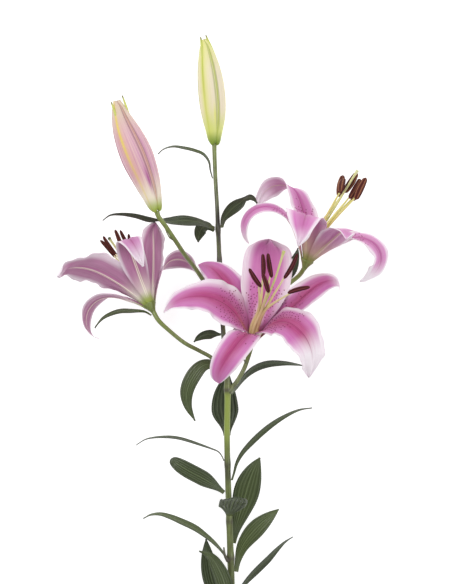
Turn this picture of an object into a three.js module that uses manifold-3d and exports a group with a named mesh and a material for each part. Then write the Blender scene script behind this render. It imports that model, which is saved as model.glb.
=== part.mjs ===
// A cut stem of an oriental lily, laid down on a table: three open blooms, two buds and its leaves.
// Millimetres, +Z up. The stem runs along +Y from its cut end, and the table is z = 0.

import * as THREE from 'three';
import { mergeVertices } from 'three/addons/utils/BufferGeometryUtils.js';
import Module from 'manifold-3d';

const wasm = await Module();
wasm.setup();

// ---------------------------------------------------------------- driving dimensions

const SEAT_GAP = 0.3;           // clearance of each piece from what it grows on
const PETAL_THICKNESS = 0.8;
const LEAF_THICKNESS = 0.8;
const BLADE_END = 0.9;          // half width that every blade keeps at its tip
const LEAF_FOOT = 0.26;         // half width of a leaf at its foot, as a share of the greatest
const LEAF_FOLD = 0.16;         // rise of a leaf's edges over its midrib, as a share of half its width

const RECEPTACLE_RADIUS = 6.9;  // green cup under a bloom
const RECEPTACLE_HEIGHT = 9.5;
const STALK_END = 2.2;          // radius where a stalk runs into the cup
const PETAL_ROOT = 4.7;         // distance of the roots from the axis of the bloom
const SEPAL_ROOT = 6.3;
const PETAL_LIFT = 0.52;        // height of the roots over the cup, which keeps their corners clear
const PETAL_CLAW = 0.16;        // half width at the root, as a share of the greatest
const SEPAL_CLAW = 0.22;
const CLAW_SPREAD = 0.6;        // the smaller, the sooner a petal widens above its root
const FILAMENT_RING = 3.0;      // distance of the filaments' roots from the axis
const FILAMENT_RADIUS = 1.0;
const FILAMENT_RISE = 14;       // length that the filaments stand upright before they spread
const ANTHER_RADIUS = 2.3;
const ANTHER_HOLD = 0.22;       // where a filament meets its anther, as a share of its length
const RING_HEIGHT = 1.2;        // short collar that joins the roots of the filaments
const RING_WIDTH = 1.8;
const OVARY_RADIUS = 1.6;
const OVARY_HEIGHT = 14;
const STIGMA_RADIUS = 3.0;

// From the stem's cut end, where the numbers below are measured, to the middle of the spray.
const TO_ORIGIN = [8, -327.5, 0];

// Where the lean and the twist of a petal are given: root, throat, middle, bow and tip.
const STATIONS = [0, 0.3, 0.55, 0.8, 1];

// ---------------------------------------------------------------- small mathematics

const vec = (p) => new THREE.Vector3(p[0], p[1], p[2]);
const radians = THREE.MathUtils.degToRad;

function smooth(from, to, x) {
  return THREE.MathUtils.smoothstep(x, from, to);
}

// A smooth curve through values given at rising stations.
function blend(stations, values, t) {
  const last = stations.length - 1;
  const slope = (k) => {
    const a = Math.max(k - 1, 0);
    const b = Math.min(k + 1, last);
    return (values[b] - values[a]) / (stations[b] - stations[a]);
  };
  let i = 0;
  while (i < last - 1 && t > stations[i + 1]) i += 1;
  const step = stations[i + 1] - stations[i];
  const k = (t - stations[i]) / step;
  const k2 = k * k;
  const k3 = k2 * k;
  return (2 * k3 - 3 * k2 + 1) * values[i] + (k3 - 2 * k2 + k) * step * slope(i)
    + (3 * k2 - 2 * k3) * values[i + 1] + (k3 - k2) * step * slope(i + 1);
}

// ---------------------------------------------------------------- closed meshes

function geometryOf(points, faces) {
  const geometry = new THREE.BufferGeometry();
  const flat = points.flatMap((p) => [p.x, p.y, p.z]);
  geometry.setAttribute('position', new THREE.Float32BufferAttribute(flat, 3));
  geometry.setIndex(faces.flat());
  return geometry;
}

// A thin closed blade over a grid of points, split into triangles alike on both faces.
function bladeGeometry(grid, thickness) {
  const rows = grid.length;
  const cols = grid[0].length;
  const { clamp } = THREE.MathUtils;
  const at = (i, j) => grid[clamp(i, 0, rows - 1)][clamp(j, 0, cols - 1)];
  const front = [];
  const back = [];
  for (let i = 0; i < rows; i += 1) {
    for (let j = 0; j < cols; j += 1) {
      const along = at(i + 1, j).clone().sub(at(i - 1, j));
      const across = at(i, j + 1).clone().sub(at(i, j - 1));
      const normal = across.cross(along).normalize().multiplyScalar(thickness / 2);
      front.push(at(i, j).clone().add(normal));
      back.push(at(i, j).clone().sub(normal));
    }
  }
  const shift = rows * cols;
  const id = (i, j) => i * cols + j;
  const faces = [];
  for (let i = 0; i < rows - 1; i += 1) {
    for (let j = 0; j < cols - 1; j += 1) {
      const [a, b, c, d] = [id(i, j), id(i, j + 1), id(i + 1, j + 1), id(i + 1, j)];
      faces.push([a, b, c], [a, c, d]);
      faces.push([a + shift, c + shift, b + shift], [a + shift, d + shift, c + shift]);
    }
  }
  const rim = [];
  for (let j = 0; j < cols - 1; j += 1) rim.push(id(0, j));
  for (let i = 0; i < rows - 1; i += 1) rim.push(id(i, cols - 1));
  for (let j = cols - 1; j > 0; j -= 1) rim.push(id(rows - 1, j));
  for (let i = rows - 1; i > 0; i -= 1) rim.push(id(i, 0));
  rim.forEach((a, k) => {
    const b = rim[(k + 1) % rim.length];
    faces.push([a, a + shift, b + shift], [a, b + shift, b]);
  });
  return geometryOf([...front, ...back], faces);
}

// A closed body of rings round a curve. reach(t, angle) is the distance of its skin from the curve.
function loftGeometry(curve, steps, sides, reach) {
  const frames = curve.computeFrenetFrames(steps, false);
  const points = [];
  for (let i = 0; i <= steps; i += 1) {
    const t = i / steps;
    const centre = curve.getPointAt(t);
    for (let j = 0; j < sides; j += 1) {
      const angle = (2 * Math.PI * j) / sides;
      const out = frames.normals[i].clone().multiplyScalar(Math.cos(angle));
      out.addScaledVector(frames.binormals[i], Math.sin(angle));
      points.push(centre.clone().addScaledVector(out, reach(t, angle)));
    }
  }
  const faces = [];
  for (let i = 0; i < steps; i += 1) {
    for (let j = 0; j < sides; j += 1) {
      const k = (j + 1) % sides;
      const [a, b, c, d] = [i * sides + j, i * sides + k, (i + 1) * sides + k, (i + 1) * sides + j];
      faces.push([a, b, c], [a, c, d]);
    }
  }
  const first = points.push(curve.getPointAt(0)) - 1;
  const last = points.push(curve.getPointAt(1)) - 1;
  for (let j = 0; j < sides; j += 1) {
    const k = (j + 1) % sides;
    faces.push([first, k, j], [last, steps * sides + j, steps * sides + k]);
  }
  return geometryOf(points, faces);
}

function solidOf(geometry) {
  geometry.deleteAttribute('normal');
  geometry.deleteAttribute('uv');
  const merged = mergeVertices(geometry, 1e-4);
  return new wasm.Manifold(new wasm.Mesh({
    numProp: 3,
    vertProperties: new Float32Array(merged.attributes.position.array),
    triVerts: new Uint32Array(merged.index.array),
  }));
}

// One solid of several that run into each other.
function joined(geometries) {
  const whole = geometries.map(solidOf).reduce((sum, next) => sum.add(next));
  const mesh = whole.getMesh();
  const geometry = new THREE.BufferGeometry();
  geometry.setAttribute('position', new THREE.BufferAttribute(mesh.vertProperties, 3));
  geometry.setIndex(new THREE.BufferAttribute(mesh.triVerts, 1));
  return geometry;
}

// ---------------------------------------------------------------- finishes and the group

const finish = (color, roughness) => new THREE.MeshStandardMaterial({ color, roughness, metalness: 0 });
const finishes = {
  stem: finish(0x7f8c4a, 0.5),
  leaf: finish(0x44502f, 0.5),
  petal: finish(0xc873aa, 0.55),
  bud: finish(0xd3d79a, 0.5),
  pinkBud: finish(0xcfa9b8, 0.5),
  pistil: finish(0xb9b763, 0.45),
  stamen: finish(0x4a201f, 0.8),
};

const lily = new THREE.Group();

function place(name, geometry, material) {
  const mesh = new THREE.Mesh(geometry, material);
  mesh.name = name;
  lily.add(mesh);
}

// ---------------------------------------------------------------- blooms

// turn is the azimuth of the first petal. The six parts follow every 60 degrees, petal and sepal
// in turn. A part is widest at its peak, and a low taper gives it a long point. cup is how far it
// keeps the round of the funnel, and swing bends its tip sideways. lean is its angle from the axis
// and twist the turn of its face, both in degrees at the stations.
const blooms = [
  {
    name: 'front_bloom', centre: [22, 352, 62], axis: [0.13, 0.84, 0.53], turn: 80,
    parts: [
      {
        length: 106, width: 51, peak: 0.5, taper: 2.0, cup: 1.0, swing: 9,
        lean: [25, 44, 48, 66, 94], twist: [0, 0, -1, -2, -2],
      },
      {
        length: 100, width: 39, peak: 0.46, taper: 1.8, cup: 1.0, swing: -2,
        lean: [31, 47, 61, 92, 125], twist: [0, 0, -8, -18, -22],
      },
      {
        length: 122, width: 43, peak: 0.38, taper: 1.1, cup: 0.5, swing: -4,
        lean: [24, 41, 72, 115, 155], twist: [0, -30, -34, -28, -24],
      },
      {
        length: 113, width: 32, peak: 0.48, taper: 2.2, cup: 0.8, swing: -14,
        lean: [32, 66, 118, 175, 225], twist: [0, 0, -4, -9, -11],
      },
      {
        length: 128, width: 44, peak: 0.4, taper: 2.8, cup: 0.5, swing: 2,
        lean: [24, 47, 103, 165, 196], twist: [0, 20, 14, 6, 4],
      },
      {
        length: 114, width: 37, peak: 0.42, taper: 1.5, cup: 1.0, swing: 9,
        lean: [31, 47, 46, 92, 170], twist: [0, 0, 9, 21, 26],
      },
    ],
  },
  {
    name: 'left_bloom', centre: [-81, 385, 77], axis: [-0.45, 0.83, -0.32], turn: 102,
    parts: [
      {
        length: 90, width: 45, peak: 0.54, taper: 2.0, cup: 1.0, swing: 6,
        lean: [24, 36, 37, 39, 44], twist: [0, 0, 0, 0, 0],
      },
      {
        length: 108, width: 32, peak: 0.48, taper: 1.6, cup: 1.0, swing: -5,
        lean: [31, 47, 90, 160, 232], twist: [0, 0, -3, -7, -8],
      },
      {
        length: 108, width: 48, peak: 0.5, taper: 1.6, cup: 1.0, swing: -5,
        lean: [24, 37, 48, 84, 129], twist: [0, 0, 4, 10, 12],
      },
      {
        length: 113, width: 28, peak: 0.48, taper: 1.8, cup: 1.0, swing: 2,
        lean: [31, 41, 48, 185, 225], twist: [0, 0, -3, -7, -8],
      },
      {
        length: 80, width: 35, peak: 0.54, taper: 3.0, cup: 1.0, swing: -7,
        lean: [24, 32, 33, 36, 44], twist: [0, -20, -20, -20, -20],
      },
      {
        length: 98, width: 34, peak: 0.48, taper: 1.8, cup: 1.0, swing: 0,
        lean: [31, 44, 60, 116, 190], twist: [0, 0, -7, -16, -20],
      },
    ],
  },
  {
    name: 'right_bloom', centre: [76, 429, 70], axis: [0.36, 0.93, 0.1], turn: -3,
    parts: [
      {
        length: 122, width: 44, peak: 0.54, taper: 1.6, cup: 1.0, swing: 17,
        lean: [25, 46, 101, 182, 238], twist: [0, 0, 16, 39, 47],
      },
      {
        length: 103, width: 31, peak: 0.48, taper: 1.8, cup: 1.0, swing: -6,
        lean: [31, 52, 69, 94, 119], twist: [0, 0, -2, -6, -7],
      },
      {
        length: 124, width: 36, peak: 0.5, taper: 2.6, cup: 1.0, swing: 32,
        lean: [24, 45, 46, 145, 205], twist: [0, 0, 7, 16, 20],
      },
      {
        length: 118, width: 32, peak: 0.48, taper: 1.8, cup: 1.0, swing: 3,
        lean: [31, 49, 105, 180, 243], twist: [0, 0, -11, -25, -31],
      },
      {
        length: 113, width: 44, peak: 0.54, taper: 1.4, cup: 1.0, swing: 22,
        lean: [24, 39, 74, 140, 205], twist: [0, 0, 6, 13, 16],
      },
      {
        length: 106, width: 31, peak: 0.48, taper: 1.8, cup: 1.0, swing: -10,
        lean: [31, 50, 60, 87, 125], twist: [0, 0, 1, 3, 4],
      },
    ],
  },
];

function axes(bloom) {
  const axis = vec(bloom.axis).normalize();
  const side = axis.clone().cross(vec([0, 0, 1])).normalize();
  const up = axis.clone().cross(side);
  return { axis, side, up, centre: vec(bloom.centre) };
}

// Half width along a petal, as a share of the greatest.
function petalShare({ peak, taper }, claw, t) {
  const past = THREE.MathUtils.clamp((t - peak) / (1 - peak), 0, 1);
  return (claw + (1 - claw) * smooth(0, peak, t) ** CLAW_SPREAD) * (1 - past ** taper) ** 0.8;
}

// A petal lies on the funnel of its bloom near the root, and leaves it towards the tip.
function petalGrid(bloom, part, isPetal, azimuth, rows, cols) {
  const { axis, side, up, centre } = axes(bloom);
  const claw = isPetal ? PETAL_CLAW : SEPAL_CLAW;
  const fine = 8 * (rows - 1);
  const step = part.length / fine;
  const spine = [];
  let rise = 0;
  let radius = isPetal ? PETAL_ROOT : SEPAL_ROOT;
  for (let i = 0; i <= fine; i += 1) {
    const t = i / fine;
    const lean = radians(blend(STATIONS, part.lean, t));
    if (i > 0) {
      const mean = (lean + spine[i - 1].lean) / 2;
      rise += Math.cos(mean) * step;
      radius += Math.sin(mean) * step;
    }
    const turn = radians(azimuth + part.swing * smooth(0.15, 1, t));
    const out = side.clone().multiplyScalar(Math.cos(turn)).addScaledVector(up, Math.sin(turn));
    const point = centre.clone().addScaledVector(axis, rise + PETAL_LIFT).addScaledVector(out, radius);
    spine.push({ t, lean, radius, out, point });
  }
  const grid = [];
  for (let r = 0; r < rows; r += 1) {
    const i = Math.round((fine * r) / (rows - 1));
    const here = spine[i];
    const before = spine[Math.max(i - 1, 0)].point;
    const after = spine[Math.min(i + 1, fine)].point;
    const along = after.clone().sub(before).normalize();
    const inward = here.out.clone().multiplyScalar(-Math.cos(here.lean));
    inward.addScaledVector(axis, Math.sin(here.lean));
    inward.addScaledVector(along, -inward.dot(along)).normalize();
    const across = inward.clone().cross(along);
    const twist = radians(blend(STATIONS, part.twist, here.t));
    const wide = across.clone().multiplyScalar(Math.cos(twist)).addScaledVector(inward, Math.sin(twist));
    const face = inward.clone().multiplyScalar(Math.cos(twist)).addScaledVector(across, -Math.sin(twist));
    const kept = 1 - (1 - part.cup) * smooth(0.05, 0.25, here.t);
    const flattened = 1 - 0.35 * smooth(0.35, 0.8, here.t);
    const bend = (Math.cos(here.lean) / Math.max(here.radius, 3)) * flattened * kept;
    const curl = Math.abs(bend) < 1e-5 ? 1e-5 : bend;
    const half = Math.max((part.width / 2) * petalShare(part, claw, here.t), BLADE_END);
    const row = [];
    for (let c = 0; c < cols; c += 1) {
      const w = half * ((2 * c) / (cols - 1) - 1);
      const point = here.point.clone();
      point.addScaledVector(wide, Math.sin(curl * w) / curl);
      point.addScaledVector(face, (1 - Math.cos(curl * w)) / curl);
      row.push(point);
    }
    grid.push(row);
  }
  return grid;
}

function buildPetals(bloom) {
  bloom.parts.forEach((part, k) => {
    const isPetal = k % 2 === 0;
    const grid = petalGrid(bloom, part, isPetal, bloom.turn + 60 * k, 12, 7);
    const number = Math.floor(k / 2) + 1;
    const name = `${bloom.name}_${isPetal ? 'petal' : 'sepal'}_${number}`;
    place(name, bladeGeometry(grid, PETAL_THICKNESS), finishes.petal);
  });
}

// ---------------------------------------------------------------- stamens and pistil

// Each anther is given by its lower and upper end; its filament holds it near the lower end.
const anthers = {
  front_bloom: [
    [[40.5, 412, 117], [36.5, 436.7, 112]],
    [[32, 413, 122], [31.5, 436, 122]],
    [[30, 402.7, 130], [17.8, 421.5, 132]],
    [[37.5, 397, 133], [31, 417, 138]],
    [[56, 397, 124], [78.5, 403, 127]],
    [[52.5, 411, 113], [66.2, 436.5, 112]],
  ],
  left_bloom: [
    [[-96, 430, 40], [-95, 452, 43]],
    [[-115, 432, 50], [-131, 450, 48]],
    [[-114, 434, 60], [-128, 454, 58]],
    [[-107.5, 438, 66], [-116, 460.5, 64]],
    [[-99, 439.5, 58], [-111, 460, 58]],
    [[-103, 433, 47], [-102.5, 456.5, 49]],
  ],
  right_bloom: [
    [[124, 490, 90], [134.5, 512, 90]],
    [[121, 489, 66], [131, 510, 62]],
    [[108, 493, 61], [112, 515, 56]],
    [[113, 497, 71], [126, 517.5, 69]],
    [[109, 497, 94], [112.5, 511, 74]],
    [[118, 491, 83], [129, 511, 81]],
  ],
};

// Each style passes the column, where the filaments round it begin to spread.
const styles = {
  front_bloom: [[31, 381, 87.5], [43, 409, 110], [52.3, 438, 126]],
  left_bloom: [[-97, 415, 67], [-108, 432, 60], [-122, 452, 54]],
  right_bloom: [[90, 460, 74], [107, 488, 77], [126, 519, 78]],
};

function ringGeometry(bloom) {
  const inner = FILAMENT_RING - RING_WIDTH / 2;
  const outer = FILAMENT_RING + RING_WIDTH / 2;
  const profile = [[inner, 0], [outer, 0], [outer, RING_HEIGHT], [inner, RING_HEIGHT], [inner, 0]];
  const ring = new THREE.LatheGeometry(profile.map(([r, h]) => new THREE.Vector2(r, h)), 12);
  const { axis, centre } = axes(bloom);
  ring.applyQuaternion(new THREE.Quaternion().setFromUnitVectors(vec([0, 1, 0]), axis));
  const root = centre.clone().addScaledVector(axis, SEAT_GAP);
  ring.translate(root.x, root.y, root.z);
  return ring;
}

function stamenGeometries(bloom, ends, k) {
  const { axis, side, up, centre } = axes(bloom);
  const turn = radians(bloom.turn + 60 * k);
  const out = side.clone().multiplyScalar(Math.cos(turn)).addScaledVector(up, Math.sin(turn));
  const foot = SEAT_GAP + RING_HEIGHT / 3;
  const root = centre.clone().addScaledVector(axis, foot).addScaledVector(out, FILAMENT_RING);
  const [low, high] = ends.map(vec);
  const hold = low.clone().lerp(high, ANTHER_HOLD);
  const spread = vec(styles[bloom.name][0]).addScaledVector(out, FILAMENT_RING + 0.6);
  const upright = root.clone().addScaledVector(axis, FILAMENT_RISE).addScaledVector(out, 0.4);
  const curve = new THREE.CatmullRomCurve3([root, upright, spread, hold]);
  const filament = loftGeometry(curve, 6, 4, (t) => FILAMENT_RADIUS * (1 - 0.3 * t));
  const swell = (t) => ANTHER_RADIUS * (0.45 + 0.55 * Math.sin(Math.PI * t) ** 0.5);
  const anther = loftGeometry(new THREE.LineCurve3(low, high), 4, 6, swell);
  return [filament, anther];
}

function buildStamens(bloom) {
  const pieces = anthers[bloom.name].flatMap((ends, k) => stamenGeometries(bloom, ends, k));
  place(`${bloom.name}_stamens`, joined([ringGeometry(bloom), ...pieces]), finishes.stamen);
}

function buildPistil(bloom) {
  const { axis, centre } = axes(bloom);
  const root = centre.clone().addScaledVector(axis, SEAT_GAP);
  const shoulder = root.clone().addScaledVector(axis, OVARY_HEIGHT);
  const curve = new THREE.CatmullRomCurve3([root, shoulder, ...styles[bloom.name].map(vec)]);
  const stations = [0, 0.05, 0.2, 0.28, 0.6, 0.93, 0.97, 1];
  const radii = [1.5, OVARY_RADIUS, OVARY_RADIUS, 1.1, 1.2, 1.5, STIGMA_RADIUS, STIGMA_RADIUS * 0.7];
  const lobes = (t, angle) => 1 + 0.2 * smooth(0.93, 0.97, t) * Math.cos(3 * angle);
  const reach = (t, angle) => blend(stations, radii, t) * lobes(t, angle);
  place(`${bloom.name}_pistil`, loftGeometry(curve, 20, 6, reach), finishes.pistil);
}

blooms.forEach((bloom) => {
  buildPetals(bloom);
  buildStamens(bloom);
  buildPistil(bloom);
});

// ---------------------------------------------------------------- buds

// A bud is three closed sepals with a rib each, over the edges of the petals inside them.
const buds = [
  {
    name: 'top_bud', turn: 25, material: finishes.bud,
    path: [[-16.8, 547.4, 18], [-17.6, 575, 15.6], [-20.7, 610, 14.2], [-26, 646, 14], [-27.8, 652, 14]],
    radii: [5.6, 8.2, 12.1, 13.0, 11.3, 7.2, 3.0], flare: 0.6,
  },
  {
    name: 'left_bud', turn: -10, material: finishes.pinkBud,
    path: [[-74.3, 479.5, 99.6], [-84, 509, 100], [-94, 534, 99], [-107, 565, 96], [-114.5, 588, 92]],
    radii: [6.0, 9.2, 13.6, 15.8, 13.6, 8.2, 3.2], flare: 2.2,
  },
];
const BUD_STATIONS = [0, 0.1, 0.3, 0.5, 0.7, 0.88, 1];

// The loose point of one closed sepal, standing a little off the end of its bud.
function sepalTip(curve, frame, angle, bud) {
  const out = frame.normals[0].clone().multiplyScalar(Math.cos(angle));
  out.addScaledVector(frame.binormals[0], Math.sin(angle));
  const ahead = curve.getTangentAt(1);
  const root = curve.getPointAt(0.93).addScaledVector(out, 3.4);
  const end = curve.getPointAt(1).addScaledVector(ahead, 3.5).addScaledVector(out, 2.6 + bud.flare);
  return loftGeometry(new THREE.LineCurve3(root, end), 1, 6, (t) => 1.9 - 1.1 * t);
}

function buildBud(bud) {
  const curve = new THREE.CatmullRomCurve3(bud.path.map(vec));
  const turn = radians(bud.turn);
  const reach = (t, angle) => {
    const ribs = 0.06 * Math.cos(3 * (angle - turn)) + 0.035 * Math.cos(6 * (angle - turn));
    return blend(BUD_STATIONS, bud.radii, t) * (1 + ribs * smooth(0, 0.2, t));
  };
  const body = loftGeometry(curve, 12, 15, reach);
  const frame = curve.computeFrenetFrames(2, false);
  const tips = [0, 1, 2].map((k) => sepalTip(curve, frame, turn + (2 * Math.PI * k) / 3, bud));
  place(bud.name, joined([body, ...tips]), bud.material);
}

buds.forEach(buildBud);

// ---------------------------------------------------------------- stem

// Each shoot is a list of x, y, z and radius from its lower end.
const mainStem = [
  [1.5, 0, 3.7, 3.7], [0.5, 100, 22.5, 3.5], [-1.7, 170, 35.5, 3.2], [-3.3, 220, 44, 3.0],
  [-4, 256, 50.5, 3.0], [-3.5, 300, 57.5, 3.0], [-5.5, 330, 58, 2.6], [-8, 362, 53, 2.4],
  [-9.8, 395, 42.5, 2.3], [-10.8, 416, 36, 2.3], [-11.6, 432, 33.5, 2.3], [-13, 462, 36, 2.3],
  [-14, 485, 35, 2.1], [-15.5, 510, 29.5, 2.1], [-16.6, 538, 20.5, 2.2], [-16.8, 546.6, 18.3, 2.4],
];

const stalks = [
  [[-3, 298, 57.5, 2.2], [5.5, 308, 57, 2.2], [12.5, 320, 55, 2.2], [17, 332, 54.5, 2.2],
    [21.1, 346.5, 58.5, 2.4]],
  [[-5, 316, 58, 2.0], [-19, 332, 66, 2.0], [-31, 339, 73, 2.0], [-46, 347, 79, 2.1],
    [-61, 359, 82.5, 2.1], [-72.5, 370, 82.3, 2.3], [-78, 379.6, 79.1, 2.4]],
  [[-6.8, 347, 55.8, 2.1], [6, 362, 48, 2.1], [25, 381, 42, 2.1], [45, 397, 45, 2.1],
    [59, 407, 51, 2.2], [69, 415.5, 61, 2.3], [73.7, 423, 69.3, 2.4]],
  [[-8.8, 377, 49, 2.2], [-18, 394, 46.5, 2.1], [-30, 413, 52, 2.2], [-36, 422, 58.5, 2.2],
    [-46, 435, 73, 2.2], [-56, 450, 86, 2.2], [-63, 460.5, 93.5, 2.2], [-68, 467.5, 97, 2.3],
    [-72.3, 473.3, 98.8, 2.4], [-74, 478.5, 99.5, 2.6]],
];

// Swollen nodes, scars and axils along the shoots: place and radius.
const knots = [
  [-3.6, 300, 57.8, 3.9], [-3.2, 226, 45, 3.5], [-1.6, 168, 35.2, 3.8], [-0.6, 131, 28.4, 4.0],
  [-11.4, 430, 33.8, 2.8], [-13, 461, 36, 2.9],
];

function shoot(points, spacing) {
  const curve = new THREE.CatmullRomCurve3(points.map(vec));
  const stations = points.map((p, k) => k);
  const radii = points.map((p) => p[3]);
  const steps = Math.round(curve.getLength() / spacing);
  const reach = (t) => blend(stations, radii, curve.getUtoTmapping(t) * (points.length - 1));
  return loftGeometry(curve, steps, 8, reach);
}

function receptacle(bloom) {
  const { axis, centre } = axes(bloom);
  const foot = centre.clone().addScaledVector(axis, -RECEPTACLE_HEIGHT);
  const reach = (t) => STALK_END + (RECEPTACLE_RADIUS - STALK_END) * t ** 1.5;
  return loftGeometry(new THREE.LineCurve3(foot, centre), 4, 10, reach);
}

function knot([x, y, z, radius]) {
  return new THREE.IcosahedronGeometry(radius, 1).translate(x, y, z);
}

const shoots = [shoot(mainStem, 24), ...stalks.map((points) => shoot(points, 11))];
place('stem', joined([...shoots, ...blooms.map(receptacle), ...knots.map(knot)]), finishes.stem);

// ---------------------------------------------------------------- leaves

// Each leaf has its width, the place along it where it is widest, and its midrib from the root:
// x, y, z and the turn of its face from lying flat, in degrees.
const leaves = {
  top_stalk_bract: [7, 0.4, [-18.6, 512, 29, 70], [-20.8, 520, 30.5, 70], [-22.5, 529, 33, 68],
    [-28, 536, 35, 66], [-36.4, 539.6, 36.5, 66], [-47, 542.2, 37, 66], [-58, 543.7, 36, 68],
    [-68, 541, 33, 70], [-73, 536.5, 31, 70]],
  whorl_leaf_left: [13, 0.4, [-16.6, 462, 37.5, 25], [-31, 467.5, 56, 25], [-46, 469, 70, 30],
    [-63, 468.2, 79, 62], [-71, 469, 81, 90], [-81, 469.5, 81, 118], [-96, 473.5, 79, 118],
    [-111, 475.2, 75, 112], [-121, 474.2, 71, 108], [-128, 469.5, 67, 105]],
  whorl_leaf_right: [13, 0.5, [-9.3, 462.7, 37.5, 30], [-7, 472, 44.5, 20], [0, 480.5, 49, 20],
    [8, 487, 52, 35], [14, 491.5, 53, 65], [19, 493, 52, 40], [23, 491, 50, 30], [26, 487, 48, 30]],
  whorl_leaf_back: [13, 0.45, [-16.9, 459.3, 35, 20], [-23, 463.5, 35, 10], [-29, 462, 31, 0],
    [-32, 456, 28, 0], [-33, 448, 26, 0]],
  middle_leaf: [10, 0.4, [-10.2, 355.5, 56.2, -30], [-20, 356, 60, -25], [-28, 354.5, 59, -20],
    [-34, 351, 58, -15], [-37, 348, 57, -15]],
  crown_leaf_left: [16, 0.45, [-8.7, 311, 57, 25], [-14, 320.5, 56, 20], [-21, 325.5, 57, 20],
    [-29, 323.5, 58.5, 20], [-38.5, 312, 60, 20], [-44, 298, 59, 20], [-43, 284.5, 56, 30],
    [-36, 269, 52, 40]],
  crown_leaf_right: [13, 0.4, [0.2, 296, 54, 60], [5, 302, 50.5, 62], [10, 309, 49, 64],
    [16, 316, 49, 60], [25, 322.5, 51, 58], [37, 326.5, 53, 58], [54, 327, 53, 60], [66, 325.5, 51, 60],
    [74, 324, 49, 62]],
  stem_leaf_1: [27, 0.42, [-4, 254, 46.4, 0], [-4.6, 266, 43, 0], [-6, 280, 42, 0], [-6, 294, 43, 0],
    [-4.5, 307, 45, 0], [-2, 316, 48, 0]],
  stem_leaf_2: [9, 0.4, [-7.2, 229, 45.6, 76], [-9.5, 234, 46.5, 78], [-13, 238, 47.5, 78],
    [-21, 241.3, 48.5, 78], [-31, 244.7, 49, 76], [-41, 248, 49, 75], [-51, 250.8, 48, 75],
    [-61, 252.3, 47, 75], [-76, 252, 44, 76], [-86, 250, 42, 78], [-95, 244.5, 39, 78]],
  stem_leaf_3: [9, 0.45, [0.8, 209.5, 43, 50], [3, 217, 45, 50], [5.5, 226.5, 48, 48],
    [10.8, 236.5, 51, 48], [19.7, 247, 53.5, 50], [31, 257.8, 55, 52], [43, 267.2, 56, 54],
    [58.3, 276.2, 56, 56], [68.8, 280.3, 55, 58], [81, 282, 53, 60]],
  stem_leaf_4: [16, 0.42, [-7, 197, 40.5, 10], [-13, 201.5, 42, 12], [-21, 207, 44, 14],
    [-31, 212.7, 45, 14], [-41, 218, 45, 14], [-51, 223.9, 44, 14], [-60.5, 230.5, 42, 14]],
  stem_leaf_5: [26, 0.6, [1.5, 146, 26, 10], [4.5, 160, 27.5, 10], [8.8, 175, 29, 8],
    [13.5, 191, 30.5, 8], [17.8, 206, 32.5, 8], [23, 220, 34.5, 8], [29, 232, 36, 8]],
  stem_leaf_6: [28, 0.5, [-1.6, 174.5, 40.6, 0], [-1, 179, 47, 0], [0.5, 184, 55, 0], [2, 188.5, 64, 0],
    [4, 191.5, 73, 0], [5.5, 193.5, 81, 0]],
  stem_leaf_7: [12.5, 0.45, [-5.2, 132, 28.8, 60], [-10, 138.5, 30, 60], [-18, 147, 32, 60],
    [-26, 153.5, 33, 62], [-36, 160.5, 33.5, 62], [-51, 167.7, 33, 64], [-61, 172, 32, 64],
    [-71, 174.8, 30, 64], [-81, 174, 28, 64], [-88, 170.5, 26, 64]],
  stem_leaf_8: [18, 0.6, [5, 117, 22.5, 20], [7, 129, 22.5, 14], [11.3, 142, 25, 12],
    [18, 152.5, 28, 14], [26, 161.5, 30, 14], [36, 170.5, 31, 16], [48, 180, 30, 20]],
  stem_leaf_9: [18, 0.5, [-5.3, 74, 17.5, 10], [-11.5, 88, 18, 8], [-17.5, 103, 19, 6],
    [-21.3, 118, 20, 6], [-23.8, 134, 21, 6], [-25, 150, 21, 6]],
  stem_leaf_10: [17, 0.5, [-1.5, 66, 19.7, -20], [-2.5, 84, 28, -14], [-6, 103, 32, -10],
    [-11, 117, 34, -8], [-17, 128, 35, -6], [-24, 135, 35.5, 20], [-32, 138, 35, 40]],
  stem_leaf_11: [12, 0.4, [5, 91, 21, 55], [10, 100.5, 22.5, 55], [18, 110.5, 24, 55],
    [27, 120, 26, 55], [37, 129.8, 27, 56], [46, 139.5, 27, 58], [54, 147, 26, 60], [62, 152, 24, 62]],
  left_bloom_bract: [7, 0.4, [-79.5, 374.7, 80.5, 50], [-86, 378.2, 80, 50], [-101, 378.8, 77, 50],
    [-111, 378.5, 74, 50], [-121, 375.5, 71, 50], [-128, 371.5, 68, 50], [-134, 365, 65, 50],
    [-136, 362, 63, 50]],
  right_bloom_bract: [11, 0.45, [50.6, 403.2, 44.4, 20], [55.5, 411, 39.5, 20], [61, 421, 39, 20],
    [64, 431, 42, 20], [66, 438, 47, 30], [67, 442, 50, 50]],
};

// Half width along a leaf, as a share of the greatest.
function leafShare(peak, t) {
  const past = THREE.MathUtils.clamp((t - peak) / (1 - peak), 0, 1);
  return (LEAF_FOOT + (1 - LEAF_FOOT) * smooth(0, peak, t)) * (1 - past ** 1.9) ** 0.9;
}

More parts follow.
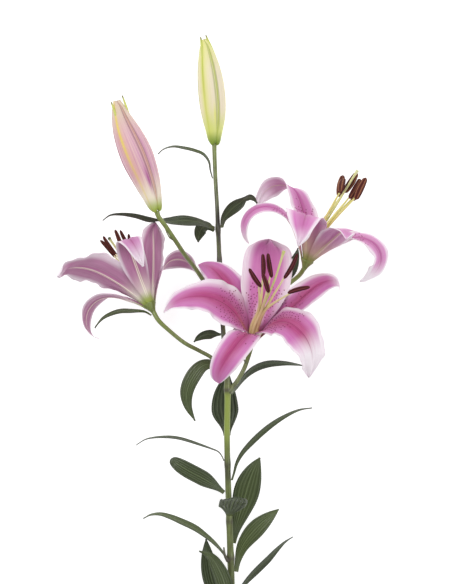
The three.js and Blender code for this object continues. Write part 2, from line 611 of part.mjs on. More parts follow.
function leafGrid(width, peak, path, rows, cols) {
  const curve = new THREE.CatmullRomCurve3(path.map(vec), false, 'centripetal');
  const stations = path.map((p, k) => k);
  const turns = path.map((p) => p[3]);
  const grid = [];
  for (let r = 0; r < rows; r += 1) {
    const share = r / (rows - 1);
    const along = curve.getTangentAt(share);
    const flat = vec([0, 0, 1]).cross(along).normalize();
    const above = along.clone().cross(flat);
    const turn = radians(blend(stations, turns, curve.getUtoTmapping(share) * (path.length - 1)));
    const wide = flat.clone().multiplyScalar(Math.cos(turn)).addScaledVector(above, Math.sin(turn));
    const face = above.clone().multiplyScalar(Math.cos(turn)).addScaledVector(flat, -Math.sin(turn));
    const half = Math.max((width / 2) * leafShare(peak, share), BLADE_END);
    const row = [];
    for (let c = 0; c < cols; c += 1) {
      const u = (2 * c) / (cols - 1) - 1;
      const point = curve.getPointAt(share).addScaledVector(wide, -half * u);
      row.push(point.addScaledVector(face, LEAF_FOLD * half * Math.abs(u) ** 1.5));
    }
    grid.push(row);
  }
  return grid;
}

Object.entries(leaves).forEach(([name, [width, peak, ...path]]) => {
  const grid = leafGrid(width, peak, path, 11, width > 12 ? 5 : 3);
  place(name, bladeGeometry(grid, LEAF_THICKNESS), finishes.leaf);
});

lily.position.set(...TO_ORIGIN);

export default lily;
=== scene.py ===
"""A cut oriental lily lying on a pale table, seen from straight above."""

import math

import bmesh
import bpy
import mathutils
import numpy as np
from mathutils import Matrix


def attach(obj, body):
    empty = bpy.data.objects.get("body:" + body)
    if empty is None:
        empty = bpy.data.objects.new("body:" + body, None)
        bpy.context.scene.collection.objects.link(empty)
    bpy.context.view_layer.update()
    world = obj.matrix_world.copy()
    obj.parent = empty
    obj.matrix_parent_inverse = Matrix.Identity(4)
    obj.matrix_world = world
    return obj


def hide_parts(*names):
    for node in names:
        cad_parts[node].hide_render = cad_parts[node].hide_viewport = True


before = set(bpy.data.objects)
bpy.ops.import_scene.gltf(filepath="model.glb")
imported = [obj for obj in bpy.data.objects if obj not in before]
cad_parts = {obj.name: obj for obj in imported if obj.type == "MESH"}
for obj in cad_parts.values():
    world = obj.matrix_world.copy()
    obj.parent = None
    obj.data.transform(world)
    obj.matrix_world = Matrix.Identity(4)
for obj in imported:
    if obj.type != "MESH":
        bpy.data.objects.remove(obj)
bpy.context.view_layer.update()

# ------------ petals
# A bloom has six waxy petals on its green cup: three broad inner ones and, outside them, three
# narrow sepals. Each is a soft blade with a grooved midrib and a ruffled white margin.

MM = 0.001
TO_ORIGIN = np.array([8.0, -327.5, 0.0])  # from the stem's cut end to the middle of the spray
PETAL_THICKNESS = 0.8
PETAL_LIFT = 0.52  # height of the roots above the cup
PETAL_ROOT = 4.7  # distance of the roots from the bloom's axis
SEPAL_ROOT = 6.3
PETAL_TURN = 60  # degrees from one petal to the next
PETAL_CLAW = 0.16  # half width at the root, as a share of the greatest
SEPAL_CLAW = 0.22
CLAW_SPREAD = 0.6  # the smaller, the sooner a petal widens above its root
BLADE_END = 0.9  # half width that every blade keeps at its tip
GROOVE_DEPTH = 0.9
GROOVE_WIDTH = 1.5
RIDGE_HEIGHT = 0.5
RIDGE_PLACE = 3.4  # distance of the two soft ridges from the midrib
FRILL = 0.34  # the fine frill of the margin, as a share of its waves
SPINE_STEPS = 4  # steps along a petal's spine for each of its rows
MARGIN_END = 0.96  # share of the half width where the margin is at its whitest
FOOT_END = 0.36  # share of the length where the pale foot of the outer face ends
PETAL_STATIONS = [0, 0.3, 0.55, 0.8, 1]  # root, throat, middle, bow and tip, where the lean is given

BLOOMS = {
    "front": {"centre": [22, 352, 62], "axis": [0.13, 0.84, 0.53], "turn": 80},
    "left": {"centre": [-81, 385, 77], "axis": [-0.45, 0.83, -0.32], "turn": 102},
    "right": {"centre": [76, 429, 70], "axis": [0.36, 0.93, 0.1], "turn": -3, "foot": 0.52},
}
# Lengths are in millimetres and angles in degrees. peak is where a petal is widest and fade where
# its tip turns white, as shares of its length. edges is where its white margins start, as shares
# of its half width. swing turns it about the bloom's axis, lean tips it away from that axis and
# twist rolls it. The last two are given at the stations.
PETAL_COLUMNS = ["length", "width", "peak", "taper", "cup", "swing", "lean", "twist",
                 "ruffle", "waves", "crest", "fade", "blush", "edges"]
PETALS = {
    "front": [
        (106, 51, 0.5, 4.6, 1, 9, [25, 44, 48, 66, 94], [0, 0, -1, -2, -2],
         1.3, 2.2, 2.4, 0.9, 0.4, [0.5, 0.54]),
        (100, 39, 0.46, 1.8, 1, -2, [31, 47, 61, 92, 125], [0, 0, -8, -18, -22],
         0.9, 1.6, 0, 0.95, 1.35, [0.76, 0.74]),
        (122, 49, 0.4, 1.1, 0.5, -4, [24, 41, 72, 115, 155], [0, -30, -34, -28, -24],
         2.6, 3.2, 0, 0.84, 1.2, [0.5, 0.74]),
        (113, 32, 0.48, 2.2, 0.8, -14, [32, 66, 118, 175, 225], [0, 0, -4, -9, -11],
         0.8, 1.8, 0, 0.97, 1.35, [0.66, 0.74]),
        (128, 44, 0.4, 2.8, 0.5, 2, [24, 47, 103, 165, 196], [0, 20, 14, 6, 4],
         2.4, 3.6, 1.2, 0.58, 1.35, [0.86, 0.66]),
        (114, 37, 0.42, 1.5, 1, 9, [31, 47, 46, 92, 170], [0, 0, 9, 21, 26],
         1, 2.1, 0, 0.78, 1.1, [0.76, 0.52]),
    ],
    "left": [
        (90, 45, 0.54, 2, 1, 6, [24, 36, 37, 39, 44], [0, 0, 0, 0, 0],
         0.6, 2, 1.5, 0.9, 0.6, [0.7, 0.7]),
        (108, 32, 0.48, 1.6, 1, -5, [31, 47, 90, 160, 232], [0, 0, -3, -7, -8],
         0.8, 1.8, 0, 0.9, 0.7, [0.72, 0.72]),
        (108, 48, 0.5, 1.6, 1, -5, [24, 37, 48, 84, 129], [0, 0, 4, 10, 12],
         2.4, 3.3, 1.5, 0.84, 0.7, [0.56, 0.56]),
        (113, 28, 0.48, 1.8, 1, 2, [31, 41, 48, 185, 225], [0, 0, -3, -7, -8],
         1.5, 2.4, 1, 0.75, 0.7, [0.7, 0.7]),
        (80, 35, 0.54, 3, 1, -7, [24, 32, 33, 36, 44], [0, -20, -20, -20, -20],
         1.4, 3, 1.5, 0.95, 0.6, [0.66, 0.66]),
        (98, 34, 0.48, 1.8, 1, 0, [31, 44, 60, 116, 190], [0, 0, -7, -16, -20],
         0.8, 1.7, 0, 0.86, 0.6, [0.72, 0.72]),
    ],
    "right": [
        (122, 44, 0.54, 1.6, 1, 17, [25, 46, 101, 182, 238], [0, 0, 16, 39, 47],
         1.6, 2.6, 0, 0.72, 0.9, [0.55, 0.6]),
        (103, 31, 0.48, 1.8, 1, -6, [31, 52, 69, 94, 119], [0, 0, -2, -6, -7],
         0.8, 1.6, 0, 0.9, 0.6, [0.7, 0.7]),
        (124, 36, 0.5, 2.6, 1, 32, [24, 45, 46, 145, 205], [0, 0, 7, 16, 20],
         1.8, 2.7, 1, 0.72, 0.8, [0.6, 0.6]),
        (118, 32, 0.48, 1.8, 1, 3, [31, 49, 105, 180, 243], [0, 0, -11, -25, -31],
         0.7, 1.5, 0, 0.8, 0.8, [0.7, 0.7]),
        (113, 44, 0.54, 1.4, 1, 22, [24, 39, 74, 140, 205], [0, 0, 6, 13, 16],
         1.8, 2.6, 1, 0.8, 0.9, [0.6, 0.6]),
        (106, 31, 0.48, 1.8, 1, -10, [31, 50, 60, 87, 125], [0, 0, 1, 3, 4],
         0.9, 1.7, 0, 0.9, 0.7, [0.7, 0.7]),
    ],
}
PALE_PATCH = {"front_bloom_petal_1": 0.8}  # the patch on each side of the midrib in the throat
FAINT_PATCH = 0.08  # the same on the other petals
SPENT_TIP = {"front_bloom_sepal_3": 1}  # the dried tip


def smooth(start, end, x):
    """A soft step from 0 at start to 1 at end."""
    k = np.clip((np.asarray(x, float) - start) / (end - start), 0, 1)
    return k * k * (3 - 2 * k)


def span(x, start, full, fading, end):
    """1 between full and fading, 0 before start and past end."""
    return smooth(start, full, x) * (1 - smooth(fading, end, x))


def ridge(x, width):
    """A soft ridge, 1 where x is 0."""
    return np.exp(-(x / width) ** 2)


def blend(stations, values, t):
    """A smooth curve through values given at rising stations."""
    stations = np.asarray(stations, float)
    values = np.asarray(values, float)
    last = len(stations) - 1
    below = np.maximum(np.arange(last + 1) - 1, 0)
    above = np.minimum(np.arange(last + 1) + 1, last)
    slope = (values[above] - values[below]) / (stations[above] - stations[below])
    t = np.asarray(t, float)
    i = np.clip(np.searchsorted(stations, t, side="left") - 1, 0, last - 1)
    step = stations[i + 1] - stations[i]
    k = (t - stations[i]) / step
    k2, k3 = k ** 2, k ** 3
    start = (2 * k3 - 3 * k2 + 1) * values[i] + (k3 - 2 * k2 + k) * step * slope[i]
    return start + (3 * k2 - 2 * k3) * values[i + 1] + (k3 - k2) * step * slope[i + 1]


def unit(v):
    return v / np.linalg.norm(v, axis=-1, keepdims=True)


def turned(first, second, angle):
    """Two crossing directions, turned from the first towards the second."""
    cos, sin = np.cos(angle), np.sin(angle)
    return first * cos + second * sin, second * cos - first * sin


def spread_from(line, *moves):
    """A row of points for each point of a line, moved along directions by grids of distances."""
    points = line[:, None, :]
    for direction, distance in moves:
        points = points + np.atleast_2d(direction)[:, None, :] * distance[..., None]
    return points


def bloom_axes(bloom):
    """The bloom's centre, its axis and the two directions across it."""
    axis = unit(np.array(bloom["axis"], float))
    side = unit(np.cross(axis, [0, 0, 1]))
    return np.array(bloom["centre"], float), axis, side, np.cross(axis, side)


def petal_share(part, claw, t):
    """Half width along a petal, as a share of the greatest."""
    past = np.clip((t - part["peak"]) / (1 - part["peak"]), 0, 1)
    widening = claw + (1 - claw) * smooth(0, part["peak"], t) ** CLAW_SPREAD
    return widening * (1 - past ** part["taper"]) ** 0.8


def petal_surface(bloom, part, is_petal, azimuth, rows=84, cols=51):
    """Middle surface of a petal: its points, and grids of t, u and the distance to the midrib."""
    centre, axis, side, up = bloom_axes(bloom)
    fine = (rows - 1) * SPINE_STEPS
    t = np.linspace(0, 1, fine + 1)
    step = part["length"] / fine
    lean = np.radians(blend(PETAL_STATIONS, part["lean"], t))
    mean = (lean[1:] + lean[:-1]) / 2
    rise = np.concatenate([[0], np.cumsum(np.cos(mean))]) * step
    radius = np.concatenate([[0], np.cumsum(np.sin(mean))]) * step
    radius += PETAL_ROOT if is_petal else SEPAL_ROOT
    turn = np.radians(azimuth + part["swing"] * smooth(0.15, 1, t))[:, None]
    out, _ = turned(side, up, turn)
    spine = centre + axis * (rise + PETAL_LIFT)[:, None] + out * radius[:, None]
    along = unit(np.gradient(spine, axis=0))
    inward = -out * np.cos(lean)[:, None] + axis * np.sin(lean)[:, None]
    inward = unit(inward - along * np.sum(inward * along, axis=1, keepdims=True))
    across = np.cross(inward, along)
    pick = slice(None, None, SPINE_STEPS)
    t, lean, radius = t[pick], lean[pick], radius[pick]
    twist = np.radians(blend(PETAL_STATIONS, part["twist"], t))[:, None]
    wide, face = turned(across[pick], inward[pick], twist)
    bend = np.cos(lean) / np.maximum(radius, 3) * (1 - 0.35 * smooth(0.35, 0.8, t))
    bend = bend * (1 - (1 - part["cup"]) * smooth(0.05, 0.25, t))
    bend = np.where(np.abs(bend) < 1e-5, 1e-5, bend)[:, None]
    claw = PETAL_CLAW if is_petal else SEPAL_CLAW
    half = np.maximum(part["width"] / 2 * petal_share(part, claw, t), BLADE_END)[:, None]
    even = np.linspace(-1, 1, cols)
    u = np.repeat([np.sign(even) * np.abs(even) ** 1.6], rows, axis=0)  # closer at the midrib
    t = np.repeat(t[:, None], cols, axis=1)
    w = half * u
    # The margin waves, more freely beyond the throat. The midrib is a groove between two soft
    # ridges on the inner face, and the tip of a broad petal rises in a few folds.
    phase = np.where(u > 0, 0.15, 0.6)
    wave = np.sin(2 * math.pi * (part["waves"] * t + phase) + 0.9 * u)
    frill = FRILL * np.sin(2 * math.pi * (2.7 * part["waves"] * t + 1.7 * phase))
    free = part["ruffle"] * span(t, 0.2, 0.45, 0.9, 1)
    lift = free * (np.abs(u) ** 2.6 * wave + np.abs(u) ** 6 * frill)
    lift -= GROOVE_DEPTH * ridge(w, GROOVE_WIDTH) * span(t, 0.05, 0.2, 0.6, 0.88)
    lift += RIDGE_HEIGHT * ridge(np.abs(w) - RIDGE_PLACE, 2) * span(t, 0.1, 0.3, 0.6, 0.9)
    lift += part["crest"] * np.cos(2.2 * math.pi * (u + 0.15)) * smooth(0.7, 0.95, t)
    bow = (1 - np.cos(bend * w)) / bend
    return spread_from(spine[pick], (wide, np.sin(bend * w) / bend), (face, bow + lift)), t, u, w


def blade_parts(points, thickness):
    """Vertices and faces of a closed blade: first the sheet that looks along its normals."""
    rows, cols = points.shape[:2]
    away = unit(np.cross(np.gradient(points, axis=0), np.gradient(points, axis=1)))
    away = away * thickness[..., None] / 2
    index = np.arange(rows * cols).reshape(rows, cols)
    a, b = index[:-1, :-1].ravel(), index[:-1, 1:].ravel()
    c, d = index[1:, 1:].ravel(), index[1:, :-1].ravel()
    rim = np.concatenate([index[0, :-1], index[:-1, -1], index[-1, :0:-1], index[:0:-1, 0]])
    beside = np.roll(rim, -1)
    shift = rows * cols
    front = np.stack([a, d, c, b], axis=1)
    back = np.stack([a, b, c, d], axis=1) + shift
    edge = np.stack([rim, beside, beside + shift, rim + shift], axis=1)
    verts = np.concatenate([(points + away).reshape(-1, 3), (points - away).reshape(-1, 3)])
    return verts, np.concatenate([front, back, edge]).tolist()


def new_object(name, data):
    made = bpy.data.objects.new(name, data)
    bpy.context.collection.objects.link(made)
    return made


def mesh_object(name, points, edges, faces, marks):
    """An object from points in millimetres, with a point attribute for each mark."""
    mesh = bpy.data.meshes.new(name)
    mesh.from_pydata(((points + TO_ORIGIN) * MM).tolist(), edges, faces)
    for key, values in marks.items():
        mesh.attributes.new(key, "FLOAT", "POINT").data.foreach_set("value", values)
    return new_object(name, mesh)


def new_piece(name, points, faces, marks, surface_uv=None):
    """A smooth closed piece whose faces look outwards, with a UV map if one is given."""
    piece = mesh_object(name, points, [], faces, marks)
    mesh = piece.data
    mesh.validate()
    if surface_uv is not None:
        layer = mesh.uv_layers.new(name="surface")
        corner = np.empty(len(mesh.loops), int)
        mesh.loops.foreach_get("vertex_index", corner)
        layer.data.foreach_set("uv", surface_uv[corner].ravel())
    shell = bmesh.new()
    shell.from_mesh(mesh)
    bmesh.ops.recalc_face_normals(shell, faces=shell.faces)
    shell.to_mesh(mesh)
    shell.free()
    mesh.polygons.foreach_set("use_smooth", [True] * len(mesh.polygons))
    return piece


def petal_piece(name, bloom, part, is_petal, azimuth):
    """One petal, and its inner face with the share of spots for the papillae below."""
    points, t, u, w = petal_surface(bloom, part, is_petal, azimuth)
    side = np.abs(u)
    away = np.abs(w)
    verts, faces = blade_parts(points, PETAL_THICKNESS * (1 - 0.35 * side ** 3))
    start = np.where(u < 0, *part["edges"])
    margin = smooth(0, 1, (side - start) / (MARGIN_END - start)) ** 0.8 * smooth(0.12, 0.4, t)
    tip = smooth(part["fade"], part["fade"] + 0.22, t)
    band = ridge(u, 0.42) * smooth(0.02, 0.12, t) * (1 - 0.7 * smooth(0.55, 1, t))
    groove = ridge(w, 0.7) * span(t, 0.1, 0.26, 0.65, 0.92)
    patch = ridge(away - RIDGE_PLACE, 2.4) * span(t, 0.07, 0.13, 0.2, 0.4)
    throat = 1 - smooth(0.02, 0.1, t + 0.04 * side)
    nectary = ridge(w, GROOVE_WIDTH) * (1 - smooth(0.1, 0.25, t))
    spread = 0.95 - 0.55 * t
    rib = ridge(away - 0.8 * spread, 0.48 * spread) * span(t, 0.03, 0.12, 0.75, 0.97)
    shade = 0.35 * ridge(away - 2.6, 1.4) * span(t, 0.1, 0.3, 0.6, 0.9)
    shade = shade + 0.5 * ridge(w, 0.35) * rib.max(axis=1, keepdims=True)
    marks = {  # on the inner and on the outer face
        "outer": (0, 1),
        "blush": (part["blush"] * band, shade),
        "groove": (groove, 0.5 * groove),
        "patch": (PALE_PATCH.get(name, FAINT_PATCH) * patch, 0),
        "pale": (np.clip(0.92 * margin + tip, 0, 1), np.clip(0.75 * margin + 0.9 * tip, 0, 1)),
        "throat": (np.maximum(throat, 0.8 * nectary), 1 - smooth(0.02, 0.13, t)),
        "foot": (0, 1 - smooth(0.04, bloom.get("foot", FOOT_END), t + 0.05 * side)),
        "rib": (0, rib),
        "spent": (0, SPENT_TIP.get(name, 0) * ridge(w, GROOVE_WIDTH) * smooth(0.82, 0.95, t)),
    }
    for key, values in marks.items():
        marks[key] = np.concatenate([np.broadcast_to(face, t.shape).ravel() for face in values])
    uv = np.tile(np.stack([u.ravel() / 2 + 0.5, t.ravel()], axis=1), (2, 1))
    piece = new_piece(f"{name}_soft", verts, faces, marks, uv)
    spots = span(t, 0.1, 0.17, 0.36, 0.56) * span(side, 0.08, 0.25, 0.6, 0.9)
    spots = spots * (1.0 if is_petal else 0.6)
    inner_faces = (t.shape[0] - 1) * (t.shape[1] - 1)
    return piece, (verts[: t.size], faces[:inner_faces], spots.ravel())


def shader_tree(name):
    """An empty material, its nodes and its Principled surface."""
    material = bpy.data.materials.new(name)
    material.use_nodes = True
    return material, material.node_tree, material.node_tree.nodes["Principled BSDF"]


def fill(tree, node, inputs):
    """Sets each named input of a node, or joins it to the socket that is given."""
    for key, value in inputs.items():
        if isinstance(value, bpy.types.NodeSocket):
            tree.links.new(value, node.inputs[key])
        else:
            node.inputs[key].default_value = value


def add_node(tree, kind, inputs, **settings):
    """The outputs of a new node."""
    node = tree.nodes.new(kind)
    for key, value in settings.items():
        setattr(node, key, value)
    fill(tree, node, inputs)
    return node.outputs


def node_group(name, kind, inputs, output, sort):
    """An empty node group, the sockets that it is given, and the node of its result."""
    tree = bpy.data.node_groups.new(name, kind)
    for key, given_sort in inputs.items():
        tree.interface.new_socket(key, in_out="INPUT", socket_type="NodeSocket" + given_sort)
    tree.interface.new_socket(output, in_out="OUTPUT", socket_type="NodeSocket" + sort)
    return tree, tree.nodes.new("NodeGroupInput").outputs, tree.nodes.new("NodeGroupOutput")


def paint(code):
    """A linear colour from the hex code of a painted swatch."""
    channels = [int(code[k: k + 2], 16) / 255 for k in (0, 2, 4)]
    linear = [c / 12.92 if c <= 0.04045 else ((c + 0.055) / 1.055) ** 2.4 for c in channels]
    return (*linear, 1.0)


def times(tree, first, second):
    """The product of two shares, held between 0 and 1."""
    inputs = {0: first, 1: second}
    return add_node(tree, "ShaderNodeMath", inputs, operation="MULTIPLY", use_clamp=True)[0]


def layered(tree, skin, *layers):
    """Paints layers over a skin. Each has its colour, where it lies and, maybe, its strength.

    Where it lies is the name of a mark or a socket.
    """
    for code, share, *strength in layers:
        if isinstance(share, str):
            share = add_node(tree, "ShaderNodeAttribute", {}, attribute_name=share)["Fac"]
        for factor in strength:
            share = times(tree, share, factor)
        inputs = {0: share, 6: skin, 7: paint(code)}  # the factor, and both colours
        skin = add_node(tree, "ShaderNodeMix", inputs, data_type="RGBA")[2]
    return skin


def ranged(tree, value, low, high):
    """value from 0 to 1, spread from low to high."""
    inputs = {"Value": value, "To Min": low, "To Max": high}
    return add_node(tree, "ShaderNodeMapRange", inputs)[0]


def relief(tree, height, strength, distance):
    """The normals of a fine relief."""
    inputs = {"Height": height, "Strength": strength, "Distance": distance}
    return add_node(tree, "ShaderNodeBump", inputs)["Normal"]


# Fine streaks that run the length of a petal or a leaf, from its UV map.
sizes = {"Across": "Float", "Along": "Float"}
STREAKS, given, result = node_group("lengthwise_streaks", "ShaderNodeTree", sizes, "Streak", "Float")
place = add_node(STREAKS, "ShaderNodeUVMap", {}, uv_map="surface")[0]
scale = add_node(STREAKS, "ShaderNodeCombineXYZ", {0: given["Across"], 1: given["Along"]})[0]
place = add_node(STREAKS, "ShaderNodeVectorMath", {0: place, 1: scale}, operation="MULTIPLY")[0]
inputs = {"Vector": place, "Scale": 1.0, "Detail": 3.0, "Roughness": 0.6}
noise = add_node(STREAKS, "ShaderNodeTexNoise", inputs)["Fac"]
inputs = {"Value": noise, "From Min": 0.32, "From Max": 0.68}
fill(STREAKS, result, {0: add_node(STREAKS, "ShaderNodeMapRange", inputs)[0]})


def streaks(tree, across, along):
    inputs = {"Across": across, "Along": along}
    return add_node(tree, "ShaderNodeGroup", inputs, node_tree=STREAKS)["Streak"]


def petal_finish(name, body, deep, outside, foot, root, rib):
    """Soft pink skin: deep along the midrib, white at the margin, green at the root.

    The outer face is greyer, with two cream lines beside the midrib.
    """
    material, tree, surface = shader_tree(name)
    streak = streaks(tree, across=34.0, along=2.2)
    cloud = streaks(tree, across=3.0, along=2.5)
    skin = layered(
        tree, paint(body),
        (outside, "outer"),
        (deep, "blush", ranged(tree, streak, 0.75, 1.15)),
        ("e9b9da", cloud, 0.16),
        ("eecbe2", streak, 0.14),
        ("f3d3e2", "patch"),
        ("f8eef5", "pale", ranged(tree, streak, 0.85, 1.1)),
        ("9a2a66", "groove", 0.7),
        (foot, "foot", ranged(tree, streak, 1, 0.6)),
        (root, "throat"),
        (rib, "rib", 0.9),
        ("8f8f58", "spent"),
    )
    fill(tree, surface, {
        "Base Color": skin, "Roughness": 0.48, "Specular IOR Level": 0.35, "Sheen Weight": 0.08,
        "Normal": relief(tree, streak, strength=0.35, distance=0.0005),
    })
    return material


PETAL_PAINTS = {  # body, deep, outside, foot, root and rib
    "front": ["c869b1", "ad1a70", "ad6298", "dccfc2", "bf9a52", "e3d8b8"],
    "left": ["c682b6", "a23c80", "a6648c", "ece5d6", "9dab50", "fbf4dc"],
    "right": ["d174ba", "ac3a88", "bb71a4", "c1aa8a", "8d8f4e", "d3c49c"],
}
throats = {}
for side, bloom in BLOOMS.items():
    finish = petal_finish(f"{side}_petal_skin", *PETAL_PAINTS[side])
    throats[side] = []
    for k, row in enumerate(PETALS[side]):
        part = dict(zip(PETAL_COLUMNS, row))
        is_petal = k % 2 == 0
        node = f"{side}_bloom_{'petal' if is_petal else 'sepal'}_{k // 2 + 1}"
        azimuth = bloom["turn"] + PETAL_TURN * k
        petal, throat_face = petal_piece(node, bloom, part, is_petal, azimuth)
        petal.data.materials.append(finish)
        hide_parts(node)
        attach(petal, "root")
        throats[side].append(throat_face)

# ------------ papillae
# The throat of a petal is dotted with crimson papillae, small fleshy bumps that grow out of its
# inner face on both sides of the midrib.

PAPILLA_RADIUS = 0.75
PAPILLA_SPACING = 2.5
PAPILLA_LEAST = (0.55, 0.75, 0.35)  # share of the radius across, along and up
PAPILLA_MOST = (1.0, 1.25, 0.6)
PAPILLA_SEED = 4
PAPILLA_DENSITY = 400000  # the most on a square metre


def grain(tree, scale):
    """Cloudy noise in the piece's own place, from 0 to 1."""
    place = add_node(tree, "ShaderNodeTexCoord", {})["Object"]
    return add_node(tree, "ShaderNodeTexNoise", {"Vector": place, "Scale": scale})["Fac"]


def end_tree(tree, shape, material, result):
    """Ends a tree: smooth shading, instances made real, and the finish."""
    shape = add_node(tree, "GeometryNodeSetShadeSmooth", {"Geometry": shape})[0]
    shape = add_node(tree, "GeometryNodeRealizeInstances", {"Geometry": shape})[0]
    shape = add_node(tree, "GeometryNodeSetMaterial", {"Geometry": shape, "Material": material})[0]
    fill(tree, result, {"Geometry": shape})


def grown(piece, tree, values):
    """Runs a Geometry Nodes tree on a piece and keeps the result as its plain mesh."""
    modifier = piece.modifiers.new(tree.name, "NODES")
    modifier.node_group = tree
    for item in tree.interface.items_tree:
        if item.item_type == "SOCKET" and item.in_out == "INPUT" and item.name in values:
            modifier[item.identifier] = values[item.name]
    bpy.context.view_layer.update()
    result = piece.evaluated_get(bpy.context.evaluated_depsgraph_get())
    mesh = bpy.data.meshes.new_from_object(result)
    piece.modifiers.remove(modifier)
    piece.data = mesh
    mesh.name = piece.name
    return piece


def joined(shells):
    """Points, faces and marks of several shells in one."""
    points, faces, marks = [], [], []
    for shell_points, shell_faces, shell_marks in shells:
        first = sum(len(p) for p in points)
        points.append(shell_points)
        faces += [[first + k for k in face] for face in shell_faces]
        marks.append(shell_marks)
    return np.concatenate(points), faces, np.concatenate(marks)


material, tree, surface = shader_tree("papilla_crimson")
skin = layered(tree, paint("5f0f3a"), ("a02a63", grain(tree, scale=260.0)))
fill(tree, surface, {"Base Color": skin, "Roughness": 0.45})

# Flattened bumps are scattered over the throats by their share of spots.
sizes = {"Geometry": "Geometry", "Spacing": "Float", "Radius": "Float", "Seed": "Int"}
tree, given, result = node_group("papillae", "GeometryNodeTree", sizes, "Geometry", "Geometry")
share = add_node(tree, "GeometryNodeInputNamedAttribute", {"Name": "spots"})["Attribute"]
inputs = {"Mesh": given["Geometry"], "Distance Min": given["Spacing"], "Seed": given["Seed"],
          "Density Max": PAPILLA_DENSITY, "Density Factor": share}
scatter = add_node(tree, "GeometryNodeDistributePointsOnFaces", inputs, distribute_method="POISSON")
inputs = {"Segments": 8, "Rings": 5, "Radius": given["Radius"]}
bump = add_node(tree, "GeometryNodeMeshUVSphere", inputs)["Mesh"]
inputs = {0: PAPILLA_LEAST, 1: PAPILLA_MOST}
size = add_node(tree, "FunctionNodeRandomValue", inputs, data_type="FLOAT_VECTOR")[0]
inputs = {"Points": scatter["Points"], "Rotation": scatter["Rotation"], "Instance": bump, "Scale": size}
end_tree(tree, add_node(tree, "GeometryNodeInstanceOnPoints", inputs)[0], material, result)

for k, side in enumerate(BLOOMS):
    points, faces, spots = joined(throats[side])
    papillae = mesh_object(f"{side}_bloom_papillae", points, [], faces, {"spots": spots})
    sizes = {"Spacing": PAPILLA_SPACING * MM, "Radius": PAPILLA_RADIUS * MM, "Seed": PAPILLA_SEED + k}
    grown(papillae, tree, sizes)
    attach(papillae, "root")

# ------------ filaments
# Six pale green threads stand round the pistil and spread, each holding its anther near the
# anther's lower end. They grow from a small ring on the cup.

FILAMENT_RING = 3.0
FILAMENT_RISE = 14.0
FILAMENT_ROOT = 2.0  # radius at the root
FILAMENT_TAPER = 1.25  # what it loses on its way up
FILAMENT_HOLD = 0.22  # where the anther is held, as a share of its length
FILAMENT_SEAT = 0.7  # height of the ring above the bloom's centre
FILAMENT_POINTS = 40

ANTHERS = {
    "front": [
        [[40.5, 412, 117], [36.5, 436.7, 112]],
        [[32, 413, 122], [31.5, 436, 122]],
        [[30, 402.7, 130], [17.8, 421.5, 132]],
        [[37.5, 397, 133], [31, 417, 138]],
        [[56, 397, 124], [78.5, 403, 127]],
        [[52.5, 411, 113], [66.2, 436.5, 112]],
    ],
    "left": [
        [[-96, 430, 40], [-95, 452, 43]],
        [[-115, 432, 50], [-131, 450, 48]],
        [[-114, 434, 60], [-128, 454, 58]],
        [[-107.5, 438, 66], [-116, 460.5, 64]],
        [[-99, 439.5, 58], [-111, 460, 58]],
        [[-103, 433, 47], [-102.5, 456.5, 49]],
    ],
    "right": [
        [[124, 490, 90], [134.5, 512, 90]],
        [[121, 489, 66], [131, 510, 62]],
        [[108, 493, 61], [112, 515, 56]],
        [[113, 497, 71], [126, 517.5, 69]],
        [[109, 497, 94], [112.5, 511, 74]],
        [[118, 491, 83], [129, 511, 81]],
    ],
}
STYLES = {
    "front": [[31, 381, 87.5], [43, 409, 110], [52.3, 438, 126]],
    "left": [[-97, 415, 67], [-108, 432, 60], [-122, 452, 54]],
    "right": [[90, 460, 74], [107, 488, 77], [126, 519, 78]],
}


def part_way(first, second, low, high, t):
    """From first at low to second at high, and straight on past both."""
    return (high - t) / (high - low) * first + (t - low) / (high - low) * second


def route(points, count):
    """A smooth centripetal curve through given points, evenly spaced, and its parameter."""
    p = np.asarray(points, float)
    p = np.vstack([2 * p[0] - p[1], p, 2 * p[-1] - p[-2]])
    knots = np.concatenate([[0], np.cumsum(np.linalg.norm(np.diff(p, axis=0), axis=1) ** 0.5)])
    dense, place = [], []
    for i in range(len(p) - 3):
        k = knots[i: i + 4]
        t = np.linspace(k[1], k[2], 24, endpoint=i == len(p) - 4)[:, None]
        near = [part_way(p[i + j], p[i + j + 1], k[j], k[j + 1], t) for j in range(3)]
        far = [part_way(near[j], near[j + 1], k[j], k[j + 2], t) for j in range(2)]
        dense.append(part_way(far[0], far[1], k[1], k[2], t))
        place.append(i + ((t - k[1]) / (k[2] - k[1]))[:, 0])
    dense, place = np.concatenate(dense), np.concatenate(place)
    length = np.concatenate([[0], np.cumsum(np.linalg.norm(np.diff(dense, axis=0), axis=1))])
    even = np.linspace(0, length[-1], count)
    line = np.stack([np.interp(even, length, dense[:, k]) for k in range(3)], axis=1)
    return line, np.interp(even, length, place)


# A round section is swept along every path of a piece, by the thickness at its points.
sizes = {"Geometry": "Geometry", "Sides": "Int", "Finish": "Material"}
TUBES, given, result = node_group("tube_along_path", "GeometryNodeTree", sizes, "Geometry", "Geometry")
path = add_node(TUBES, "GeometryNodeMeshToCurve", {"Mesh": given["Geometry"]})["Curve"]
thickness = add_node(TUBES, "GeometryNodeInputNamedAttribute", {"Name": "thickness"})["Attribute"]
inputs = {"Resolution": given["Sides"], "Radius": 1.0}
section = add_node(TUBES, "GeometryNodeCurvePrimitiveCircle", inputs)["Curve"]
inputs = {"Curve": path, "Profile Curve": section, "Scale": thickness, "Fill Caps": True}
end_tree(TUBES, add_node(TUBES, "GeometryNodeCurveToMesh", inputs)[0], given["Finish"], result)


